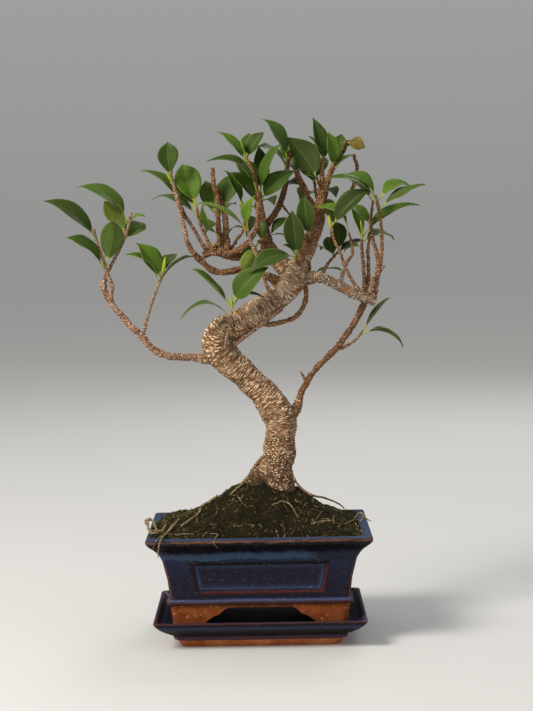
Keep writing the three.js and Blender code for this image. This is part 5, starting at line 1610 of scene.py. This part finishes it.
# %% The ground's height
MOUND_MIDDLE, MOUND_SPREAD, MOUND_RISE = (5, 2), (40, 34), 38
GROUND_EDGE, GROUND_BULGE = 99.4, 6
MOSS_HALF, MOSS_CORNER = (91, 66), 12
HUMMOCKS = ((17, 2.4, 3), (7, 1.5, 9), (3.2, 0.9, 21), (1.5, 0.5, 33))  # size, height and seed


def ground(x, y):
    """The height of the ground in millimetres, without its roughness."""
    off = ((x - MOUND_MIDDLE[0]) / MOUND_SPREAD[0]) ** 2 + ((y - MOUND_MIDDLE[1]) / MOUND_SPREAD[1]) ** 2
    out_x, out_y = np.minimum(1, np.abs(x) / MOSS_HALF[0]), np.minimum(1, np.abs(y) / MOSS_HALF[1])
    bulge = GROUND_BULGE * (1 - out_x**12) * (1 - out_y**12)
    return GROUND_EDGE + bulge + MOUND_RISE * np.exp(-off / 2) * (1 - out_x**4) * (1 - out_y**4)


def hummocks(spots):
    """Roughness of the ground at x, y, 0 places, in millimetres."""
    return sum(height * rough(spots, size, seed) for size, height, seed in HUMMOCKS)


print("ground at the trunk", round(float(ground(10, 2)), 1))
print("ground at the front", round(float(ground(0, -60)), 1))

# %% Make the bed of moss
MOSS_COLUMNS, MOSS_ROWS = 170, 122
SPILL, SPILL_RISE, SPILL_Y = 6, 2.8, 25
moss = start(bpy.ops.mesh.primitive_grid_add, x_subdivisions=MOSS_COLUMNS, y_subdivisions=MOSS_ROWS, size=2)
resize(MOSS_HALF[0] * MM, MOSS_HALF[1] * MM, 1)
take(moss)
spots = points_of(moss) / MM
inner = np.array(MOSS_HALF) - MOSS_CORNER
over = np.maximum(np.abs(spots[:, :2]) - inner, 0)
reach = np.linalg.norm(over, axis=1)
pull = np.where(reach > MOSS_CORNER, MOSS_CORNER / np.maximum(reach, 1e-6), 1)
spots[:, :2] = np.sign(spots[:, :2]) * (np.minimum(np.abs(spots[:, :2]), inner) + over * pull[:, None])
rim_gap = MOSS_CORNER - np.minimum(reach, MOSS_CORNER)
rim_gap = np.where(reach == 0, MOSS_CORNER, rim_gap)
spots[:, 2] = ground(spots[:, 0], spots[:, 1]) + hummocks(spots * [1, 1, 0]) * ease(rim_gap, -2, 6)
# the moss laps over the left rim, up to SPILL_Y
lap = ease(-spots[:, 0], 76, 91) * ease(SPILL_Y - spots[:, 1], 0, 15)
lap *= 0.75 + 0.25 * hummocks(spots * [0, 0.6, 0])
spots[:, 0] -= SPILL * lap
spots[:, 2] += SPILL_RISE * lap
set_points(moss, spots * MM)
take(moss, "EDIT")
bpy.ops.mesh.select_all(action="SELECT")
bpy.ops.mesh.remove_doubles(threshold=0.15 * MM)
pick("EDGE", lambda e: e.is_boundary)
bpy.ops.mesh.extrude_region_move(TRANSFORM_OT_translate={"value": (0, 0, -5 * MM)})
resize(1, 1, 0)
bpy.ops.mesh.edge_face_add()
close_up(moss)
bpy.ops.object.shade_smooth()
print("bed of moss:", len(moss.data.polygons), "faces")

# %% [markdown]
# ### Roots and rootlets
# Pale roots have come up: one down each side of the trunk, one over the left front corner, and fine
# rootlets that lie on the moss and hang over the rim. The big ones have stations of their own. The
# rootlets are traced in the picture, and each point of a trace is set down on whatever it meets there,
# moss or pot, so that they lie on it from every side.

# %% Trace the rootlets
ROOTLETS = {  # each trace is a list of picture points, then the radius
    "root_corner": [
        ([(166, 533), (160, 537), (155, 543), (152.5, 549)], 0.45),
        ([(167, 534), (171, 527), (176, 523), (179, 519)], 0.7),
        ([(168, 534), (176, 535), (186, 534), (192, 535)], 0.5),
        ([(147, 529), (155, 533), (165, 536)], 0.7), ([(202, 538), (205, 534), (209, 531.5)], 0.4),
        ([(210, 534), (217, 534.5), (215, 539), (214, 543), (218, 548)], 0.5),
    ],
    "root_left": [
        ([(213, 499), (210, 497), (208, 499)], 0.5), ([(238, 497), (241, 501), (243, 505)], 0.4),
        ([(249, 525), (254, 526), (256, 530)], 0.35), ([(276, 530), (278, 536), (278.6, 542.5)], 0.45),
    ],
    "root_right": [
        ([(272, 505), (277, 503.5), (281.4, 501.5), (288.4, 503.4), (294, 510.5), (298, 518)], 0.6),
        ([(312, 524.5), (319.7, 522), (326, 521.4), (331.4, 521)], 0.75),
        ([(321, 512), (318, 517), (313, 523)], 0.4), ([(333.7, 523.7), (333.4, 517.5), (337.6, 509)], 0.5),
        ([(344.7, 524.5), (351, 521.4), (357.2, 518.7)], 0.6),
        ([(361, 512), (365, 517.5), (371, 519.8)], 0.55), ([(290, 539.4), (290.8, 542.5)], 0.4),
        ([(303, 508), (305, 504), (307, 502)], 0.35),
        ([(322, 524), (327, 519), (329, 523)], 0.5),
    ],
}
KNOT = [  # the pale loops that stand on the left rim
    [[-84, -44, 103, 0.9], [-88, -42, 103.6, 1], [-92.3, -41, 104, 1.1], [-96, -40, 103.6, 1.1],
     [-98.6, -39, 104.4, 1], [-99.6, -34, 107.4, 1.1], [-100.4, -29, 110.6, 1.3], [-99.2, -26, 111.8, 1.4],
     [-96, -27, 110.6, 1.2], [-94, -31, 107.6, 1], [-92, -37, 104.6, 0.9]],
    [[-99.6, -34, 107.2, 0.9], [-101.6, -30, 109, 1], [-102.4, -27, 110.4, 0.9], [-101, -24, 111.4, 0.9]],
    [[-96, -38, 103.4, 0.8], [-97.4, -46, 103.8, 0.8], [-94.6, -52, 103.6, 0.8], [-90, -50, 103.4, 0.7]],
    [[-88, -44, 103.2, 0.9], [-85.6, -42, 105.4, 0.9], [-84.6, -41, 107.6, 0.8], [-82.4, -40, 109.6, 0.5]],
    [[-85, -48, 103, 0.7], [-80.6, -44, 104.4, 0.8], [-77.4, -40, 106.6, 0.7], [-75, -38, 108.8, 0.4]],
]
DROOP = [  # the strand that droops over the right rim
    [[88, 10, 103.6, 0.8], [91.5, 7, 108, 0.9], [94, 5, 109, 0.9], [96.6, 3, 106.4, 0.8],
     [99.6, 1, 103.6, 0.7], [103, 0, 102.4, 0.4]],
    [[95.6, 4, 107.4, 0.7], [94.4, -2, 105, 0.6], [92, -6, 103.4, 0.5]],
]
ground_skin = skin_of(moss, pot)
thinned = [[x, y, z, radius * 0.66] for x, y, z, radius in CORNER_ROOT]
root_paths = {"root_corner": [thinned, *KNOT]}
for name, stations in GROUND_ROOTS.items():
    lifted = [[x, y, float(ground(x, y)) + 2.2 + over, radius * 0.85] for x, y, over, radius in stations]
    root_paths[name] = [lifted] + (DROOP if name == "root_right" else [])
for name, traces in ROOTLETS.items():
    for trace, radius in traces:
        landed = [on_skin(ground_skin, px, py, radius * 0.5) for px, py in trace]
        landed = [[*spot, radius] for spot in landed if spot]
        if len(landed) > 1:
            landed[-1][3] *= 0.5
            root_paths[name].append(landed)
    root = grown(root_paths[name], 0.3, 2, ROOT_LUMPS, (2.4, 1.6, 0.12), seed=len(name) * 1.1)
    hand_in(root, name, [name], root_bark)

# %% [markdown]
# ### Tufts and litter
# A tuft is five thin cones leaning outwards. Its copies go into one mesh, because thousands of objects
# would be slow to draw, and each carries a tone of its own for the moss's mixed greens and browns.
# Litter is made the same way, from one curled flake and one bent straw: bits of leaf, husk and stalk
# in the moss.

# %% Model a tuft, a flake and a straw
BLADES = 5
tuft = start(bpy.ops.mesh.primitive_cone_add, vertices=3, radius1=0.2, radius2=0.03, depth=0.8,
             location=(0, 0, 0.3))
for number in range(BLADES):
    pick("VERT", lambda v: v.co.z > -0.2 and v.co.xy.length < 0.22 and abs(v.co.z - 0.3) < 0.7)
    if number < BLADES - 1:
        bpy.ops.mesh.duplicate()
        lean = 2.4 * number
        bpy.ops.transform.rotate(value=0.7 + 0.12 * number, orient_axis="X", center_override=(0, 0, 0))
        bpy.ops.transform.rotate(value=lean, orient_axis="Z", center_override=(0, 0, 0))
        move(0.3 * math.cos(lean), 0.3 * math.sin(lean), 0)
take(tuft)
print("tuft:", len(tuft.data.polygons), "faces")

flake = start(bpy.ops.mesh.primitive_ico_sphere_add, subdivisions=1, radius=0.5)
resize(1.0, 0.42, 0.16)
pick("VERT", lambda v: abs(v.co.x) > 0.2)
move(0, 0.08, 0.14)
take(flake)

straw = start(bpy.ops.mesh.primitive_cube_add, size=1)
resize(1.0, 0.055, 0.055)
bpy.ops.mesh.subdivide(number_cuts=2)
pick("VERT", lambda v: abs(v.co.x) > 0.3)
move(0, 0.09, 0.12)
pick("VERT", lambda v: v.co.x > 0.3)
move(0, 0.16, 0.12)
take(straw)
print("flake:", len(flake.data.polygons), "faces, straw:", len(straw.data.polygons))

# %% Strew copies over the moss
MARGIN = 8  # how far beyond the moss a place may be tried


def strewn(pattern, name, count, sizes, upright, seed):
    """Copies of a small shape set down on the moss in one mesh, each with a tone of its own."""
    chance = np.random.default_rng(seed)
    shape = points_of(pattern)
    faces = [list(p.vertices) for p in pattern.data.polygons]
    places, sides, values = [], [], []
    while len(values) < count * len(shape):
        x, y = chance.uniform(-1, 1, 2) * (np.array(MOSS_HALF) + MARGIN)
        over_x = abs(x) - MOSS_HALF[0] - (SPILL if x < 0 and y < SPILL_Y else 0)
        outside = max(over_x, abs(y) - MOSS_HALF[1]) + 2 * noise.noise(Vector((x, y, 0)) / 9)
        spot, normal, _, _ = ground_skin.ray_cast(Vector((x * MM, y * MM, 0.3)), Vector((0, 0, -1)))
        if spot is None or normal.z < 0.2 or outside > chance.uniform(-1, 3.5):
            continue
        lean = normal.lerp(Vector((*chance.normal(0, 0.35, 2), 1)), upright).normalized()
        spin = Matrix.Rotation(chance.uniform(0, 2 * math.pi), 3, "Z")
        turned = np.array(lean.to_track_quat("Z", "Y").to_matrix() @ spin)
        size = chance.uniform(*sizes) * MM
        first = len(values)
        places.append((shape * size) @ turned.T + np.array(spot))
        values += [chance.uniform(0, 1)] * len(shape)
        sides += [[first + k for k in f] for f in faces]
    mesh = bpy.data.meshes.new(name)
    mesh.from_pydata(np.vstack(places).tolist(), [], sides)
    piece = bpy.data.objects.new(name, mesh)
    bpy.context.scene.collection.objects.link(piece)
    keep(piece, "tone", np.array(values))
    take(piece)
    bpy.ops.object.shade_smooth()
    return piece


tufts = strewn(tuft, "moss_tufts", 9000, (1.3, 2.9), 0.5, 5)
litter = strewn(flake, "moss_litter", 700, (0.8, 2.3), 0.25, 6)
straws = strewn(straw, "moss_straws", 620, (2.4, 6.4), 0.25, 7)
throw_away(tuft, flake, straw)
print("strewn:", [len(piece.data.polygons) for piece in (tufts, litter, straws)], "faces")

# %% Mix the moss and its litter
TUFT_TONES = [
    (0.02, "120c06"), (0.25, "251f0f"), (0.45, "363616"), (0.65, "4a4a1c"), (0.8, "625a2c"), (0.95, "8e8844"),
]
FLAKE_TONES = [(0.1, "33210f"), (0.4, "5c4226"), (0.74, "806440"), (0.95, "b0925f")]
STRAW_TONES = [(0.05, "2e200e"), (0.35, "4c4a18"), (0.6, "6c6c28"), (0.84, "8a7646"), (0.98, "c4aa78")]


def litter_finish(name, tones, depth):
    """A dull finish for small dry bits, coloured by each bit's own tone."""
    mix = Palette(name, Roughness=0.9, Specular_IOR_Level=0.2)
    return mix.paint(mix.ramp(mix.stored("tone"), tones), None, mix.grain(mix.place(), 1200, 3), depth)


mix = Palette("moss_bed", Roughness=0.95, Specular_IOR_Level=0.1)
specks = mix.grain(mix.place(), 700, 5, 0.8)
bed_colour = mix.ramp(mix.grain(mix.place(), 60, 4), [(0.3, "0f0c07"), (0.5, "1a150b"), (0.7, "261f12")])
bed_colour = mix.blend(mix.fade(specks, 0.55, 0.7), bed_colour, "3e3a1c")
moss_bed = mix.paint(bed_colour, None, specks, 0.001)
mix = Palette("moss_tuft", Roughness=0.9, Specular_IOR_Level=0.12)
mixed = mix.plus(mix.times(mix.stored("tone"), 0.8), mix.sway(mix.grain(mix.place(), 45, 3), 0.9))
moss_tuft = mix.paint(mix.ramp(mixed, TUFT_TONES), None, mix.grain(mix.place(), 1500, 2), 0.0003)
hand_in(moss, "moss", ["moss"], moss_bed)
hand_in(tufts, "moss_tufts", ["moss"], moss_tuft)
hand_in(litter, "moss_litter", ["moss"], litter_finish("moss_flake", FLAKE_TONES, 0.0004))
hand_in(straws, "moss_straws", ["moss"], litter_finish("moss_straw", STRAW_TONES, 0.0003))

# %% [markdown]
# ## The hidden pieces
# Soil fills the pot under the moss, and a square of plastic mesh lies over each drainage hole. Their
# plain shapes are right, so they stay and only get a finish.

# %% Finish the soil and the screens
mix = Palette("potting_soil", Roughness=0.95, Specular_IOR_Level=0.2)
place = mix.place()
crumbs = mix.cells(place, 420)
colour = mix.ramp(crumbs, [(0.1, "4a3826"), (0.5, "2c2018"), (0.8, "120c08")])
potting_soil = mix.paint(colour, None, crumbs, 0.001)
mix = Palette("drainage_plastic", Roughness=0.5)
drainage_plastic = mix.paint(mix.ramp(mix.grain(mix.place(), 300, 2), [(0.3, "141414"), (0.7, "242422")]))
for name, finish in (("soil", potting_soil), ("drainage_screen_left", drainage_plastic),
                     ("drainage_screen_right", drainage_plastic)):
    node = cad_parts[name]
    for socket in node.material_slots:
        socket.material = finish
    print(name, "keeps its shape, finish", finish.name)
